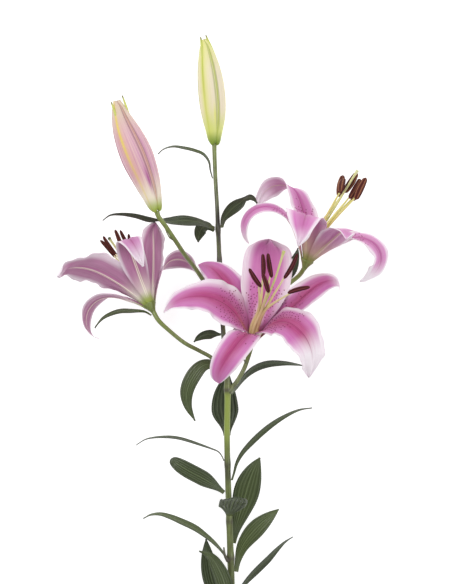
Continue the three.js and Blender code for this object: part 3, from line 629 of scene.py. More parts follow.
def tube_piece(name, paths, sides, material):
    """Sweeps paths into one piece. Each has its points, thickness and marks, in millimetres."""
    lines, reaches, path_marks = zip(*paths)
    edges, first = [], 0
    for line in lines:
        edges += [[first + k, first + k + 1] for k in range(len(line) - 1)]
        first += len(line)
    marks = {"thickness": np.concatenate(reaches) * MM}
    for key in path_marks[0]:
        marks[key] = np.concatenate([values[key] for values in path_marks])
    piece = mesh_object(name, np.concatenate(lines), edges, [], marks)
    return grown(piece, TUBES, {"Sides": sides, "Finish": material})


def filament_finish(name, root, upper):
    """Pale yellow, greener at the root, with faint lighter streaks."""
    material, tree, surface = shader_tree(name)
    skin = layered(tree, paint(root), (upper, "along"), ("f4ecc4", grain(tree, scale=180.0), 0.5))
    fill(tree, surface, {"Base Color": skin, "Roughness": 0.4})
    return material


FILAMENT_PAINTS = {  # name, root and upper part
    "front": ["cream_filament", "f2e39a", "efe5a8"],
    "left": ["pale_filament", "c3c37a", "e3dfb0"],
    "right": ["yellow_filament", "c4bf4a", "d9d667"],
}
for side, bloom in BLOOMS.items():
    centre, axis, across, up = bloom_axes(bloom)
    throat = np.array(STYLES[side][0], float)
    share = np.linspace(0, 1, FILAMENT_POINTS)
    threads = []
    for k, (low, high) in enumerate(np.array(ANTHERS[side], float)):
        out, _ = turned(across, up, math.radians(bloom["turn"] + PETAL_TURN * k))
        root = centre + axis * FILAMENT_SEAT + out * FILAMENT_RING
        upright = root + axis * FILAMENT_RISE + out * 0.4
        hold = low + FILAMENT_HOLD * (high - low)
        line, _ = route([root, upright, throat + out * (FILAMENT_RING + 0.6), hold], FILAMENT_POINTS)
        threads.append((line, FILAMENT_ROOT - FILAMENT_TAPER * share, {"along": share}))
    finish = filament_finish(*FILAMENT_PAINTS[side])
    filaments = tube_piece(f"{side}_bloom_filaments", threads, sides=12, material=finish)
    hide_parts(f"{side}_bloom_stamens")
    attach(filaments, "root")

# ------------ anthers
# Each filament carries an anther, two pollen sacs side by side with a groove between them,
# velvety with dark red-brown pollen.

ANTHER_RADIUS = {"front": 2.7, "left": 2.3, "right": 4.0}
ANTHER_FLATNESS = 0.78
ANTHER_BOW = 0.06  # rise of the middle, as a share of the length
FACE_GROOVE = 0.34  # depth, as a share of the radius
BACK_GROOVE = 0.25
ROLLS = [0.3, -0.4, 0.5, -0.2, 0.6, -0.7]  # how far each anther of a bloom turns about its length


def level_frame(along):
    """The level direction to the right of a direction, and the one above it."""
    right = unit(np.cross(along, [0, 0, 1]))
    return right, np.cross(right, along)


def ring_faces(rings, sides):
    """The faces between the rings of a tube."""
    index = np.arange(rings * sides).reshape(rings, sides)
    after = np.roll(index, -1, axis=1)
    faces = np.stack([index[:-1], after[:-1], after[1:], index[1:]], axis=-1)
    return faces.reshape(-1, 4).tolist()


def anther_shell(low, high, radius, roll, rings=28, sides=26):
    """A grooved sac from low to high: points, faces and how near the groove's lips a point is."""
    length = np.linalg.norm(high - low)
    wide, face = turned(*level_frame((high - low) / length), roll)
    t = np.linspace(0.004, 0.996, rings)[:, None]
    angle = np.linspace(0, 2 * math.pi, sides, endpoint=False)[None, :]
    swell = radius * (0.4 + 0.6 * np.sin(math.pi * t) ** 0.5) * (1 - 0.12 * t)
    swell = swell * np.clip(np.minimum(t, 1 - t) * 14, 0, 1) ** 0.5
    away = np.abs((angle - math.pi / 2 + math.pi) % (2 * math.pi) - math.pi)
    reach = swell * (1 - FACE_GROOVE * ridge(away, 0.4) - BACK_GROOVE * ridge(math.pi - away, 0.4))
    middle = low + (high - low) * t + face * (ANTHER_BOW * length * np.sin(math.pi * t))
    rise = ANTHER_FLATNESS * reach * np.sin(angle)
    points = spread_from(middle, (wide, reach * np.cos(angle)), (face, rise))
    lips = ridge(away - 0.62, 0.16) * np.ones_like(t)
    last = (rings - 1) * sides
    ends = [list(range(sides)), list(range(last + sides - 1, last - 1, -1))]
    return points.reshape(-1, 3), ring_faces(rings, sides) + ends, lips.ravel()


def anther_finish(name, dark, lip):
    """Velvety pollen, redder on the lips of the groove."""
    material, tree, surface = shader_tree(name)
    pollen = grain(tree, scale=900.0)
    skin = layered(tree, paint(dark), (lip, "lips", pollen))
    fill(tree, surface, {
        "Base Color": skin, "Roughness": 0.75, "Specular IOR Level": 0.25,
        "Normal": relief(tree, pollen, strength=0.6, distance=0.0005),
    })
    return material


ANTHER_PAINTS = {  # name, pollen and the groove's lips
    "front": ["dark_pollen", "3d1216", "9c4046"],
    "left": ["brown_pollen", "431a12", "7c3527"],
    "right": ["ripe_pollen", "4c1a17", "c98c63"],
}
for side in BLOOMS:
    shells = []
    for (low, high), roll in zip(np.array(ANTHERS[side], float), ROLLS):
        shells.append(anther_shell(low, high, ANTHER_RADIUS[side], roll))
    points, faces, lips = joined(shells)
    anthers = new_piece(f"{side}_bloom_anthers", points, faces, {"lips": lips})
    anthers.data.materials.append(anther_finish(*ANTHER_PAINTS[side]))
    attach(anthers, "root")

# ------------ pistils
# In the middle of the cup stands the pistil: a ribbed green ovary, a long yellow-green style
# that leans with the filaments, and a three-lobed sticky stigma.

PISTIL_STATIONS = [0, 0.05, 0.2, 0.28, 0.6, 0.93, 1]
PISTIL_RADII = [1.4, 1.6, 1.6, 1.1, 1.1, 1.2, 1.7]
PISTIL_SEAT = 0.3  # height of its foot above the bloom's centre
PISTIL_POINTS = 70
LOBE_RADIUS = 1.3
LOBE_LENGTH = 1.9
LOBE_SPREAD = 1.3  # how far a lobe leans out from the style
LOBE_POINTS = 9


def pistil_finish(name, stigma):
    """Yellow-green and paler upwards, with the stigma in its own colour."""
    material, tree, surface = shader_tree(name)
    skin = layered(tree, paint("b4ba5e"), ("e0de9c", "along"), (stigma, "stigma"))
    fill(tree, surface, {"Base Color": skin, "Roughness": 0.3, "Coat Weight": 0.3})
    return material


STIGMA_PAINTS = {"front": "cdd07e", "left": "4c5a34", "right": "d9dba8"}
for side, bloom in BLOOMS.items():
    centre, axis, _, _ = bloom_axes(bloom)
    root = centre + axis * PISTIL_SEAT
    line, _ = route([root, root + axis * FILAMENT_RISE, *STYLES[side]], PISTIL_POINTS)
    share = np.linspace(0, 1, PISTIL_POINTS)
    marks = {"along": share, "stigma": smooth(0.955, 0.99, share)}
    paths = [(line, blend(PISTIL_STATIONS, PISTIL_RADII, share), marks)]
    ahead = unit(line[-1] - line[-3])
    right, above = level_frame(ahead)
    steps = np.linspace(0, 1, LOBE_POINTS)
    lobe_reach = LOBE_RADIUS * np.sqrt(np.clip(1 - (steps * 1.02 - 0.3) ** 2 / 0.55, 0.02, 1))
    marks = {"along": np.ones(LOBE_POINTS), "stigma": np.ones(LOBE_POINTS)}
    for lobe in range(3):
        out, _ = turned(right, above, math.radians(90 + 120 * lobe))
        lobe_way = ahead * LOBE_LENGTH + out * LOBE_SPREAD
        lobe_line = line[-1] - ahead * 1.2 + lobe_way * steps[:, None]
        paths.append((lobe_line, lobe_reach, marks))
    finish = pistil_finish(f"{side}_pistil", STIGMA_PAINTS[side])
    pistil = tube_piece(f"{side}_bloom_style", paths, sides=18, material=finish)
    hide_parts(f"{side}_bloom_pistil")
    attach(pistil, "root")

# ------------ buds
# A closed bud is six petals folded edge to edge. Three broad backs and the keels of the three
# inner ones between them run up to the tips, which just part.

BUD_STATIONS = [0, 0.1, 0.3, 0.5, 0.7, 0.88, 1]
BUD_FOOT = 2.4  # how far the lobes of the foot hang down
BUD_RIB = 0.035  # rise of the backs' ribs, as a share of the radius
BUD_KEEL = 0.03  # the same for the keels, and then the depth of the seams beside them
BUD_SEAM = 0.06
THIRD = 2 * math.pi / 3
BUDS = {  # turn is where the first back's rib runs, and tips how far each rises and spreads
    "top_bud": {
        "turn": -34, "tips": [[3, 3.4], [3.4, 3.6], [2, 4.4]], "slot": "bud",
        "path": [[-16.8, 547.4, 18], [-17.6, 575, 15.6], [-20.7, 610, 14.2], [-26, 646, 14],
                 [-27.8, 652, 14]],
        "radii": [5.6, 8.2, 12.1, 13.0, 11.3, 7.2, 3.0],
    },
    "left_bud": {
        "turn": -32, "tips": [[-1, 9], [3.5, 7.6], [-2, 11]], "slot": "pink_bud",
        "path": [[-74.3, 479.5, 99.6], [-84, 509, 100], [-94, 534, 99], [-107, 565, 96],
                 [-114.5, 588, 92]],
        "radii": [6.0, 9.2, 13.6, 15.8, 13.6, 8.6, 4.4],
    },
}


def bud_piece(name, bud, rings=110, sides=120):
    """The skin of a bud. Angle 0 of a ring looks up."""
    line, _ = route(bud["path"], rings)
    along = unit(np.gradient(line, axis=0))
    right, above = level_frame(along)
    t = np.linspace(0, 1, rings)[:, None]
    angle = np.linspace(-math.pi, math.pi, sides, endpoint=False)[None, :]
    turn = angle - np.radians(bud["turn"])
    back = (turn + THIRD / 2) % THIRD - THIRD / 2
    keel = turn % THIRD - THIRD / 2
    lobe = 0.5 + 0.5 * np.cos(3 * turn)
    shape = BUD_RIB * ridge(back, 0.16) * smooth(0.02, 0.25, t)
    shape = shape + BUD_KEEL * ridge(keel, 0.09) * smooth(0.15, 0.4, t)
    shape = shape - BUD_SEAM * ridge(np.abs(keel) - 0.17, 0.07) * smooth(0.05, 0.3, t)
    shape = shape - 0.16 * ridge(keel, 0.2) * (1 - smooth(0.0, 0.2, t))
    reach = blend(BUD_STATIONS, bud["radii"], t) * (1 + shape)
    reach = reach * (1 - 0.55 * smooth(0.93, 1.0, t) * (1 - lobe))
    reach = reach * (0.5 + 0.5 * np.sqrt(1 - (1 - np.clip(t / 0.045, 0, 1)) ** 2))
    drop = -BUD_FOOT * (1 - smooth(0, 0.06, t)) * lobe
    moves = (right, reach * np.sin(angle)), (above, reach * np.cos(angle)), (along, drop)
    points = spread_from(line, *moves).reshape(-1, 3)
    ends = [line[0] + along[0] * 0.8, line[-1] - along[-1] * 2]
    faces = ring_faces(rings, sides)
    foot = rings * sides
    last = foot - sides
    for j in range(sides):
        k = (j + 1) % sides
        faces.append([foot, k, j])
        faces.append([foot + 1, last + j, last + k])
    from_rib = np.abs((turn + math.pi) % (2 * math.pi) - math.pi)
    first_rib = 1 - 0.7 * smooth(0.7, 1.4, from_rib)
    marks = {
        "back_rib": ridge(back, 0.07 + 0.05 * t) * (0.5 + 0.5 * smooth(0.3, 0.7, t)) * first_rib,
        "keel": ridge(keel, 0.07) * (1 - 0.7 * smooth(1.2, 1.5, from_rib)),
        "seam": ridge(np.abs(keel) - 0.14, 0.05) * smooth(0.04, 0.2, t),
        "glow": ridge(back, 0.4) * first_rib,
        "foot": 1 - smooth(0.0, 0.13, t),
        "base": 1 - smooth(0.1, 0.36, t),
        "head": smooth(0.62, 0.95, t),
        "flush": ridge(t - 0.27, 0.1) * ridge(keel + 0.3, 0.12),
    }
    at_ends = {"foot": [1, 0], "base": [1, 0], "head": [0, 1]}
    for key, values in marks.items():
        values = np.broadcast_to(values, (rings, sides)).ravel()
        marks[key] = np.concatenate([values, at_ends.get(key, [0, 0])])
    around = np.tile(angle.ravel() / (2 * math.pi), rings)
    uv = np.stack([around, np.repeat(t, sides)], axis=1)
    uv = np.concatenate([uv, [[0, 0], [0, 1]]])
    return new_piece(f"{name}_skin", np.concatenate([points, ends]), faces, marks, uv)


def bud_finish(name, panel, lines, glow, rib, keel, seam, base, foot, flush, head):
    """Streaked panels between the ribs, yellow beside the backs, pale then green at the foot."""
    material, tree, surface = shader_tree(name)
    streak = streaks(tree, across=80.0, along=1.4)
    skin = layered(
        tree, paint(panel),
        (lines, streak, 0.95),
        (glow, "glow", 0.75),
        (head, "head", 0.7),
        (base, "base", 0.85),
        (flush, "flush", 0.9),
        (seam, "seam", 0.75),
        (keel, "keel"),
        (rib, "back_rib"),
        (foot, "foot"),
    )
    fill(tree, surface, {
        "Base Color": skin, "Roughness": 0.42, "Specular IOR Level": 0.4,
        "Normal": relief(tree, streak, strength=0.3, distance=0.0004),
    })
    return material


BUD_PAINTS = {  # name, panel, lines, glow, rib, keel, seam, base, foot, flush and head
    "top_bud": ["green_bud_skin", "efe0cf", "e4dcb4", "dfe176", "c2ca52", "a9b644", "8d9a3f",
                "d2dc70", "7f9a34", "dfe176", "e3e386"],
    "left_bud": ["pink_bud_skin", "c47fae", "ecd0c6", "dca79a", "ecd468", "c08f7c", "7c3752",
                 "f3ecd2", "9fb443", "a02e88", "dfd2b0"],
}
for name, bud in BUDS.items():
    skin = bud_piece(name, bud)
    skin.data.materials.append(bud_finish(*BUD_PAINTS[name]))
    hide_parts(name)
    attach(skin, "root")

# The tips of the three backs stand past the bud's mouth, green with a dried dark end.

TIP_POINTS = 20
BUD_POINTS = 60
TIP_START = 48  # the point of a bud's path beside which they start
TIP_DEPTH = 7.4  # distance of their lower ends from the bud's middle
TIP_RADIUS = 1.7
material, tree, surface = shader_tree("bud_tip_green")
skin = layered(tree, paint("c9cf6a"), ("6d6a3c", "along"))
fill(tree, surface, {"Base Color": skin, "Roughness": 0.5})
for name, bud in BUDS.items():
    line, _ = route(bud["path"], BUD_POINTS)
    ahead = unit(line[-1] - line[-4])
    right, above = level_frame(ahead)
    share = np.linspace(0, 1, TIP_POINTS)
    tips = []
    for k, (rise, spread) in enumerate(bud["tips"]):
        out, _ = turned(above, right, math.radians(bud["turn"] + 120 * k))
        low = line[TIP_START] + out * TIP_DEPTH
        high = line[-1] + ahead * rise + out * spread
        tip_line, _ = route([low, (low + high) / 2 + out * 0.4, high], TIP_POINTS)
        tips.append((tip_line, TIP_RADIUS - share, {"along": smooth(0.8, 1, share)}))
    bud_tips = tube_piece(f"{name}_tips", tips, sides=12, material=material)
    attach(bud_tips, "root")

# ------------ stem
# One green stem, thick at its cut end, forks into the stalks of the blooms and buds. It swells
# where leaves and stalks grow out, and each bloom sits on a small green cup.

MAIN_STEM = [
    [1.5, 0, 3.7, 3.7], [0.5, 100, 22.5, 3.5], [-1.7, 170, 35.5, 3.2], [-3.3, 220, 44, 3.0],
    [-4, 256, 50.5, 3.0], [-3.5, 300, 57.5, 3.0], [-5.5, 330, 58, 2.6], [-8, 362, 53, 2.4],
    [-9.8, 395, 42.5, 2.3], [-10.8, 416, 36, 2.3], [-11.6, 432, 33.5, 2.3], [-13, 462, 36, 2.3],
    [-14, 485, 35, 2.1], [-15.5, 510, 29.5, 2.1], [-16.6, 538, 20.5, 2.2], [-16.8, 546.6, 18.3, 2.4],
]
STALKS = [
    [[-3, 298, 57.5, 2.2], [5.5, 308, 57, 2.2], [12.5, 320, 55, 2.2], [17, 332, 54.5, 2.2],
     [21.1, 346.5, 58.5, 2.4]],
    [[-5, 316, 58, 2.0], [-19, 332, 66, 2.0], [-31, 339, 73, 2.0], [-46, 347, 79, 2.1],
     [-61, 359, 82.5, 2.1], [-72.5, 370, 82.3, 2.3], [-78, 379.6, 79.1, 2.4]],
    [[-6.8, 347, 55.8, 2.1], [6, 362, 48, 2.1], [25, 381, 42, 2.1], [45, 397, 45, 2.1],
     [59, 407, 51, 2.2], [69, 415.5, 61, 2.3], [73.7, 423, 69.3, 2.4]],
    [[-8.8, 377, 49, 2.2], [-18, 394, 46.5, 2.1], [-30, 413, 52, 2.2], [-36, 422, 58.5, 2.2],
     [-46, 435, 73, 2.2], [-56, 450, 86, 2.2], [-63, 460.5, 93.5, 2.2], [-68, 467.5, 97, 2.3],
     [-72.3, 473.3, 98.8, 2.4], [-74, 478.5, 99.5, 2.6]],
]
KNOTS = [  # place and radius of each swelling, and how dark its scar is
    [[-3.6, 300, 57.8], 3.9, 0.9], [[-3.2, 226, 45], 3.4, 0.3], [[-1.6, 168, 35.2], 3.6, 0.6],
    [[-0.6, 131, 28.4], 4.0, 0.7], [[-11.4, 430, 33.8], 2.8, 0.8], [[-13, 461, 36], 2.9, 0.3],
]
SCALES = [  # short dry scales in the axils: path, thickness at the foot, and how dark
    [[[-3, 128, 31], [-6.2, 134, 33.5], [-7.2, 142, 33]], 1.9, 0.8],
    [[[15, 327, 57], [12.9, 330.5, 58], [12.8, 334.5, 58]], 0.9, 0.1],
    [[[-57.5, 450, 87.5], [-60.8, 452, 90], [-63.4, 456, 92], [-65.6, 461, 94]], 0.9, 0.0],
    [[[-10.6, 417, 37], [-7.4, 418.5, 38], [-6.0, 423.5, 38]], 1.5, 0.5],
]
YOUNG = {  # how young the skin is, by height along the stem
    0: 0.15, 130: 0.2, 200: 0.3, 225: 0.15, 262: 1, 292: 1, 310: 0.15, 460: 0, 490: 0.05, 546: 0.5,
}
KNOT_LENGTH = 4.5
SCAR_LENGTH = 2.6
CUP_RADIUS = 6.9
CUP_HEIGHT = 9.5
CUP_LIP = 1.5  # how far the cup's soft rim closes over the roots of the petals
STALK_END = 2.2
STEM_POINTS = 320
STALK_POINTS = 110
SCALE_POINTS = 16
CUP_POINTS = 24


def shoot_path(points, count):
    """A shoot with its thickness, swollen at the knots, and how far each point is a scar."""
    table = np.array(points, float)
    line, place = route(table[:, :3], count)
    reach = blend(np.arange(len(table)), table[:, 3], place)
    scar = np.zeros(count)
    for centre, radius, dark in KNOTS:
        away = np.linalg.norm(line - np.array(centre), axis=1)
        reach = reach + np.maximum(radius - reach, 0) * ridge(away, KNOT_LENGTH)
        scar = np.maximum(scar, dark * ridge(away, SCAR_LENGTH))
    return line, reach, scar


# Yellow-green skin with faint lengthwise streaks, darker at the scars and paler under the blooms.
material, tree, surface = shader_tree("stem_green")
place = add_node(tree, "ShaderNodeTexCoord", {})["Object"]
place = add_node(tree, "ShaderNodeMapping", {"Vector": place, "Scale": (380.0, 14.0, 380.0)})[0]
streak = add_node(tree, "ShaderNodeTexNoise", {"Vector": place, "Scale": 1.0, "Detail": 3.0})["Fac"]
inputs = {"Value": streak, "From Min": 0.36, "From Max": 0.64}
lines = add_node(tree, "ShaderNodeMapRange", inputs)[0]
layers = ("69724a", lines), ("8fa048", "young"), ("463c39", "scar")
fill(tree, surface, {
    "Base Color": layered(tree, paint("35302a"), *layers),
    "Normal": relief(tree, streak, strength=0.15, distance=0.0004),
    "Roughness": 0.36, "Coat Weight": 0.25,
})

line, reach, scar = shoot_path(MAIN_STEM, STEM_POINTS)
heights = np.clip(line[:, 1], 0, max(YOUNG))
young = blend(list(YOUNG), list(YOUNG.values()), heights)
stem_paths = [(line, reach, {"scar": scar, "young": young})]
for points in STALKS:
    line, reach, scar = shoot_path(points, STALK_POINTS)
    marks = {"scar": 0.4 * scar, "young": np.linspace(0.15, 0.6, STALK_POINTS)}
    stem_paths.append((line, reach, marks))
share = np.linspace(0, 1, SCALE_POINTS)
for path, thickness, dark in SCALES:
    line, _ = route(path, SCALE_POINTS)
    marks = {"scar": np.full(SCALE_POINTS, dark), "young": 0.6 * share}
    stem_paths.append((line, thickness * (1.05 - 0.7 * share), marks))
share = np.linspace(0, 1, CUP_POINTS)
for bloom in BLOOMS.values():
    centre, axis, _, _ = bloom_axes(bloom)
    foot = centre - axis * CUP_HEIGHT
    line = foot + axis * ((CUP_HEIGHT + CUP_LIP) * share)[:, None]
    widening = np.clip(share * (1 + CUP_LIP / CUP_HEIGHT), 0, 1) ** 1.5
    reach = STALK_END + (CUP_RADIUS - STALK_END) * widening
    reach = reach * (1 - 0.3 * smooth(0.9, 1.02, share) ** 2)
    stem_paths.append((line, reach, {"scar": np.zeros(CUP_POINTS), "young": 0.4 + 0.2 * share}))
stem = tube_piece("stem_shoots", stem_paths, sides=28, material=material)
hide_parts("stem")
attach(stem, "root")

# ------------ leaves
# Narrow dark leaves and bracts grow straight from the stem with no stalk. Each is one blade
# folded a little along its midrib, with pale veins that run its whole length.

LEAF_THICKNESS = 0.8
LEAF_VEINS = 7
LEAF_TAPER = 1.9
LEAF_ROOT = 0.26  # half width at the root, as a share of the greatest
LEAF_FOLD = 0.16  # rise of the edges above the midrib, as a share of the half width
LEAF_WAVE = 0.05  # the same for the veins and for the waves of the edges
LEAVES = {  # width, peak, brightness, then points with their turn: x, y, z and degrees
    "top_stalk_bract": (7, 0.4, 0.3, (-18.6, 512, 29, 70), (-20.8, 520, 30.5, 70), (-22.5, 529, 33, 68),
        (-28, 536, 35, 66), (-36.4, 539.6, 36.5, 66), (-47, 542.2, 37, 66), (-58, 543.7, 36, 68),
        (-68, 541, 33, 70), (-73, 536.5, 31, 70)),
    "whorl_leaf_left": (13, 0.4, 0.1, (-16.6, 462, 37.5, 25), (-31, 467.5, 56, 25), (-46, 469, 70, 30),
        (-63, 468.2, 79, 62), (-71, 469, 81, 90), (-81, 469.5, 81, 118), (-96, 473.5, 79, 118),
        (-111, 475.2, 75, 112), (-121, 474.2, 71, 108), (-128, 469.5, 67, 105)),
    "whorl_leaf_right": (13, 0.5, 0.1, (-9.3, 462.7, 37.5, 30), (-7, 472, 44.5, 20), (0, 480.5, 49, 20),
        (8, 487, 52, 35), (14, 491.5, 53, 65), (19, 493, 52, 40), (23, 491, 50, 30), (26, 487, 48, 30)),
    "whorl_leaf_back": (13, 0.45, 0.1, (-16.9, 459.3, 35, 20), (-23, 463.5, 35, 10), (-29, 462, 31, 0),
        (-32, 456, 28, 0), (-33, 448, 26, 0)),
    "middle_leaf": (10, 0.4, 0.1, (-10.2, 355.5, 56.2, -30), (-20, 356, 60, -25), (-28, 354.5, 59, -20),
        (-34, 351, 58, -15), (-37, 348, 57, -15)),
    "crown_leaf_left": (16, 0.45, 0.75, (-8.7, 311, 57, 25), (-14, 320.5, 56, 20), (-21, 325.5, 57, 20),
        (-29, 323.5, 58.5, 20), (-38.5, 312, 60, 20), (-44, 298, 59, 20), (-43, 284.5, 56, 30),
        (-36, 269, 52, 40)),
    "crown_leaf_right": (13, 0.4, 0.1, (0.2, 296, 54, 60), (5, 302, 50.5, 62), (10, 309, 49, 64),
        (16, 316, 49, 60), (25, 322.5, 51, 58), (37, 326.5, 53, 58), (54, 327, 53, 60),
        (66, 325.5, 51, 60), (74, 324, 49, 62)),
    "stem_leaf_1": (27, 0.42, 0.1, (-4, 254, 46.4, 0), (-4.6, 266, 43, 0), (-6, 280, 42, 0),
        (-6, 294, 43, 0), (-4.5, 307, 45, 0), (-2, 316, 48, 0)),
    "stem_leaf_2": (9, 0.4, 0.1, (-7.2, 229, 45.6, 76), (-9.5, 234, 46.5, 78), (-13, 238, 47.5, 78),
        (-21, 241.3, 48.5, 78), (-31, 244.7, 49, 76), (-41, 248, 49, 75), (-51, 250.8, 48, 75),
        (-61, 252.3, 47, 75), (-76, 252, 44, 76), (-86, 250, 42, 78), (-95, 244.5, 39, 78)),
    "stem_leaf_3": (9, 0.45, 0.5, (0.8, 209.5, 43, 50), (3, 217, 45, 50), (5.5, 226.5, 48, 48),
        (10.8, 236.5, 51, 48), (19.7, 247, 53.5, 50), (31, 257.8, 55, 52), (43, 267.2, 56, 54),
        (58.3, 276.2, 56, 56), (68.8, 280.3, 55, 58), (81, 282, 53, 60)),
    "stem_leaf_4": (16, 0.42, 0.3, (-7, 197, 40.5, 10), (-13, 201.5, 42, 12), (-21, 207, 44, 14),
        (-31, 212.7, 45, 14), (-41, 218, 45, 14), (-51, 223.9, 44, 14), (-60.5, 230.5, 42, 14)),
    "stem_leaf_5": (26, 0.6, 0.65, (1.5, 146, 26, 10), (4.5, 160, 27.5, 10), (8.8, 175, 29, 8),
        (13.5, 191, 30.5, 8), (17.8, 206, 32.5, 8), (23, 220, 34.5, 8), (29, 232, 36, 8)),
    "stem_leaf_6": (28, 0.5, 0.35, (-1.6, 174.5, 40.6, 0), (-1, 179, 47, 6), (0.5, 184, 55, 16),
        (2, 188.5, 64, 26), (4, 191.5, 73, 34), (5.5, 193.5, 81, 38)),
    "stem_leaf_7": (12.5, 0.45, 0.8, (-5.2, 132, 28.8, 60), (-10, 138.5, 30, 60), (-18, 147, 32, 60),
        (-26, 153.5, 33, 62), (-36, 160.5, 33.5, 62), (-51, 167.7, 33, 64), (-61, 172, 32, 64),
        (-71, 174.8, 30, 64), (-81, 174, 28, 64), (-88, 170.5, 26, 64)),
    "stem_leaf_8": (18, 0.6, 1, (5, 117, 22.5, 20), (7, 129, 22.5, 14), (11.3, 142, 25, 12),
        (18, 152.5, 28, 14), (26, 161.5, 30, 14), (36, 170.5, 31, 16), (48, 180, 30, 20)),
    "stem_leaf_9": (18, 0.5, 0.3, (-5.3, 74, 17.5, 10), (-11.5, 88, 18, 8), (-17.5, 103, 19, 6),
        (-21.3, 118, 20, 6), (-23.8, 134, 21, 6), (-25, 150, 21, 6)),
    "stem_leaf_10": (17, 0.5, 0.6, (-1.5, 66, 19.7, -20), (-2.5, 84, 28, -14), (-6, 103, 32, -10),
        (-11, 117, 34, -8), (-17, 128, 35, -6), (-24, 135, 35.5, 20), (-32, 138, 35, 40)),
    "stem_leaf_11": (12, 0.4, 0.1, (5, 91, 21, 55), (10, 100.5, 22.5, 55), (18, 110.5, 24, 55),
        (27, 120, 26, 55), (37, 129.8, 27, 56), (46, 139.5, 27, 58), (54, 147, 26, 60),
        (62, 152, 24, 62)),
    "left_bloom_bract": (7, 0.4, 0.4, (-79.5, 374.7, 80.5, 50), (-86, 378.2, 80, 50), (-101, 378.8, 77, 50),
        (-111, 378.5, 74, 50), (-121, 375.5, 71, 50), (-128, 371.5, 68, 50), (-134, 365, 65, 50),
        (-136, 362, 63, 50)),
    "right_bloom_bract": (11, 0.45, 0.1, (50.6, 403.2, 44.4, 20), (55.5, 411, 39.5, 20), (61, 421, 39, 20),
        (64, 431, 42, 20), (66, 438, 47, 30), (67, 442, 50, 50)),
}
BLUNT_LEAVES = {"stem_leaf_4": 4, "stem_leaf_6": 3.6}


def leaf_share(peak, taper, t):
    """Half width along a leaf, as a share of the greatest."""
    past = np.clip((t - peak) / (1 - peak), 0, 1)
    return (LEAF_ROOT + (1 - LEAF_ROOT) * smooth(0, peak, t)) * (1 - past ** taper) ** (1.71 / taper)


def leaf_surface(width, peak, taper, path, rows=64, cols=41):
    """Middle surface of a leaf along rows of x, y, z and turn: its points, t and u grids."""
    table = np.array(path, float)
    line, place = route(table[:, :3], rows)
    turn = np.radians(blend(np.arange(len(table)), table[:, 3], place))[:, None]
    right, above = level_frame(unit(np.gradient(line, axis=0)))
    wide, face = turned(-right, above, turn)
    t = np.repeat(np.linspace(0, 1, rows)[:, None], cols, axis=1)
    u = np.repeat([np.linspace(-1, 1, cols)], rows, axis=0)
    half = np.maximum(width / 2 * leaf_share(peak, taper, t), BLADE_END)
    fold = LEAF_FOLD * np.abs(u) ** 1.5
    veins = LEAF_WAVE * np.cos(math.pi * LEAF_VEINS * u) * span(t, 0.1, 0.3, 0.8, 1)
    wave = LEAF_WAVE * np.abs(u) ** 2 * np.sin(2 * math.pi * (1.6 * t + 0.3 * u))
    return spread_from(line, (wide, -half * u), (face, half * (fold + veins + wave))), t, u


# Dark olive with pale parallel veins and a paler midrib. Young leaves are more yellow.
material, tree, surface = shader_tree("leaf_green")
streak = streaks(tree, across=22.0, along=1.2)
skin = layered(
    tree, paint("26301d"),
    ("4f5b2e", "bright"),
    ("52613a", streak, 0.38),
    # painted shade: each blade darker towards its edges
    ("222c1a", "dim", 0.5),
    ("8a9a6c", "vein", 0.3),
    ("5f6a37", "root"),
)
fill(tree, surface, {
    "Base Color": skin, "Roughness": 0.32, "Specular IOR Level": 0.6,
    "Normal": relief(tree, streak, strength=0.35, distance=0.0005),
})

for name, (width, peak, bright, *path) in LEAVES.items():
    points, t, u = leaf_surface(width, peak, BLUNT_LEAVES.get(name, LEAF_TAPER), path)
    verts, faces = blade_parts(points, LEAF_THICKNESS * (1 - 0.3 * np.abs(u) ** 3))
    midrib = ridge(u * width / 2, 0.5)
    veins = midrib + np.clip(np.cos(math.pi * LEAF_VEINS * u), 0, 1) ** 5
    marks = {
        "vein": 0.6 * veins * span(t, 0.04, 0.15, 0.85, 1),
        "root": 0.7 * (1 - smooth(0, 0.12, t)),
        "bright": np.full(t.shape, bright),
        # where the painted shade lies: towards the edges of the blade
        "dim": smooth(0.55, 1, np.abs(u)),
    }
    marks = {key: np.tile(values.ravel(), 2) for key, values in marks.items()}
    uv = np.tile(np.stack([u.ravel() / 2 + 0.5, t.ravel()], axis=1), (2, 1))
    leaf = new_piece(f"{name}_blade", verts, faces, marks, uv)
    leaf.data.materials.append(material)
    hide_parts(name)
    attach(leaf, "root")

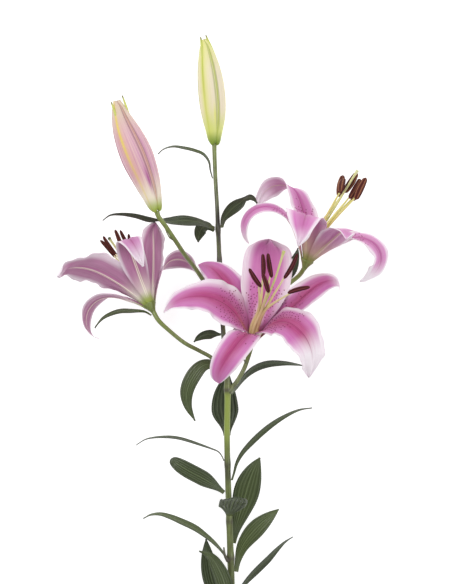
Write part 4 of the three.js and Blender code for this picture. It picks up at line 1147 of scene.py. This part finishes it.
# ------------ table and light
# The spray lies on a plain white table under broad soft lights, with only a faint shadow.

TABLE_SIZE = 6.0
WHITE = (1, 1, 1, 1)
bpy.ops.mesh.primitive_plane_add(size=TABLE_SIZE, location=(0, 0, 0))
table_top = bpy.context.object
table_top.name = "table_top"
material, tree, surface = shader_tree("table_white")
fill(tree, surface, {
    "Base Color": (0.6, 0.6, 0.6, 1), "Roughness": 0.9,
    "Emission Color": WHITE, "Emission Strength": 0.72,
})
table_top.data.materials.append(material)


def softbox(name, place, aim, size, power):
    """A square area light at place that looks at aim."""
    lamp = bpy.data.lights.new(name, "AREA")
    lamp.shape = "SQUARE"
    lamp.size = size
    lamp.energy = power
    light = new_object(name, lamp)
    way = unit(np.array(aim, float) - np.array(place, float))
    light.location = place
    across = unit(np.cross(way, [0, 1, 0.01]))
    up = np.cross(across, way)
    turned_to = np.stack([across, up, -way], axis=1)
    light.rotation_euler = mathutils.Matrix(turned_to.tolist()).to_euler()


softbox("key_softbox", (-1.3, 1.5, 2.6), aim=(0, 0.05, 0), size=1.6, power=42)
softbox("fill_softbox", (1.8, 0.2, 2.4), aim=(0, 0.05, 0), size=2.0, power=26)

room = bpy.data.worlds.new("white_room")
room.use_nodes = True
fill(room.node_tree, room.node_tree.nodes["Background"], {"Color": WHITE, "Strength": 0.5})
bpy.context.scene.world = room
bpy.context.scene.view_settings.view_transform = "Standard"

# ------------ camera
# It looks straight down from far above, so that the spray keeps its proportions.

CAMERA_PLACE = (0.003, 0.0705, 8.0)
SHARP_PLANE = 0.06  # height at which the frame is FRAME_HEIGHT tall
FRAME_HEIGHT = 0.584
camera_data = bpy.data.cameras.new("overhead_camera")
camera_data.sensor_fit = "VERTICAL"
camera_data.sensor_height = 24.0
camera_data.lens = camera_data.sensor_height * (CAMERA_PLACE[2] - SHARP_PLANE) / FRAME_HEIGHT
camera_data.clip_end = 50.0
camera = new_object("overhead_camera", camera_data)
camera.location = CAMERA_PLACE
bpy.context.scene.camera = camera
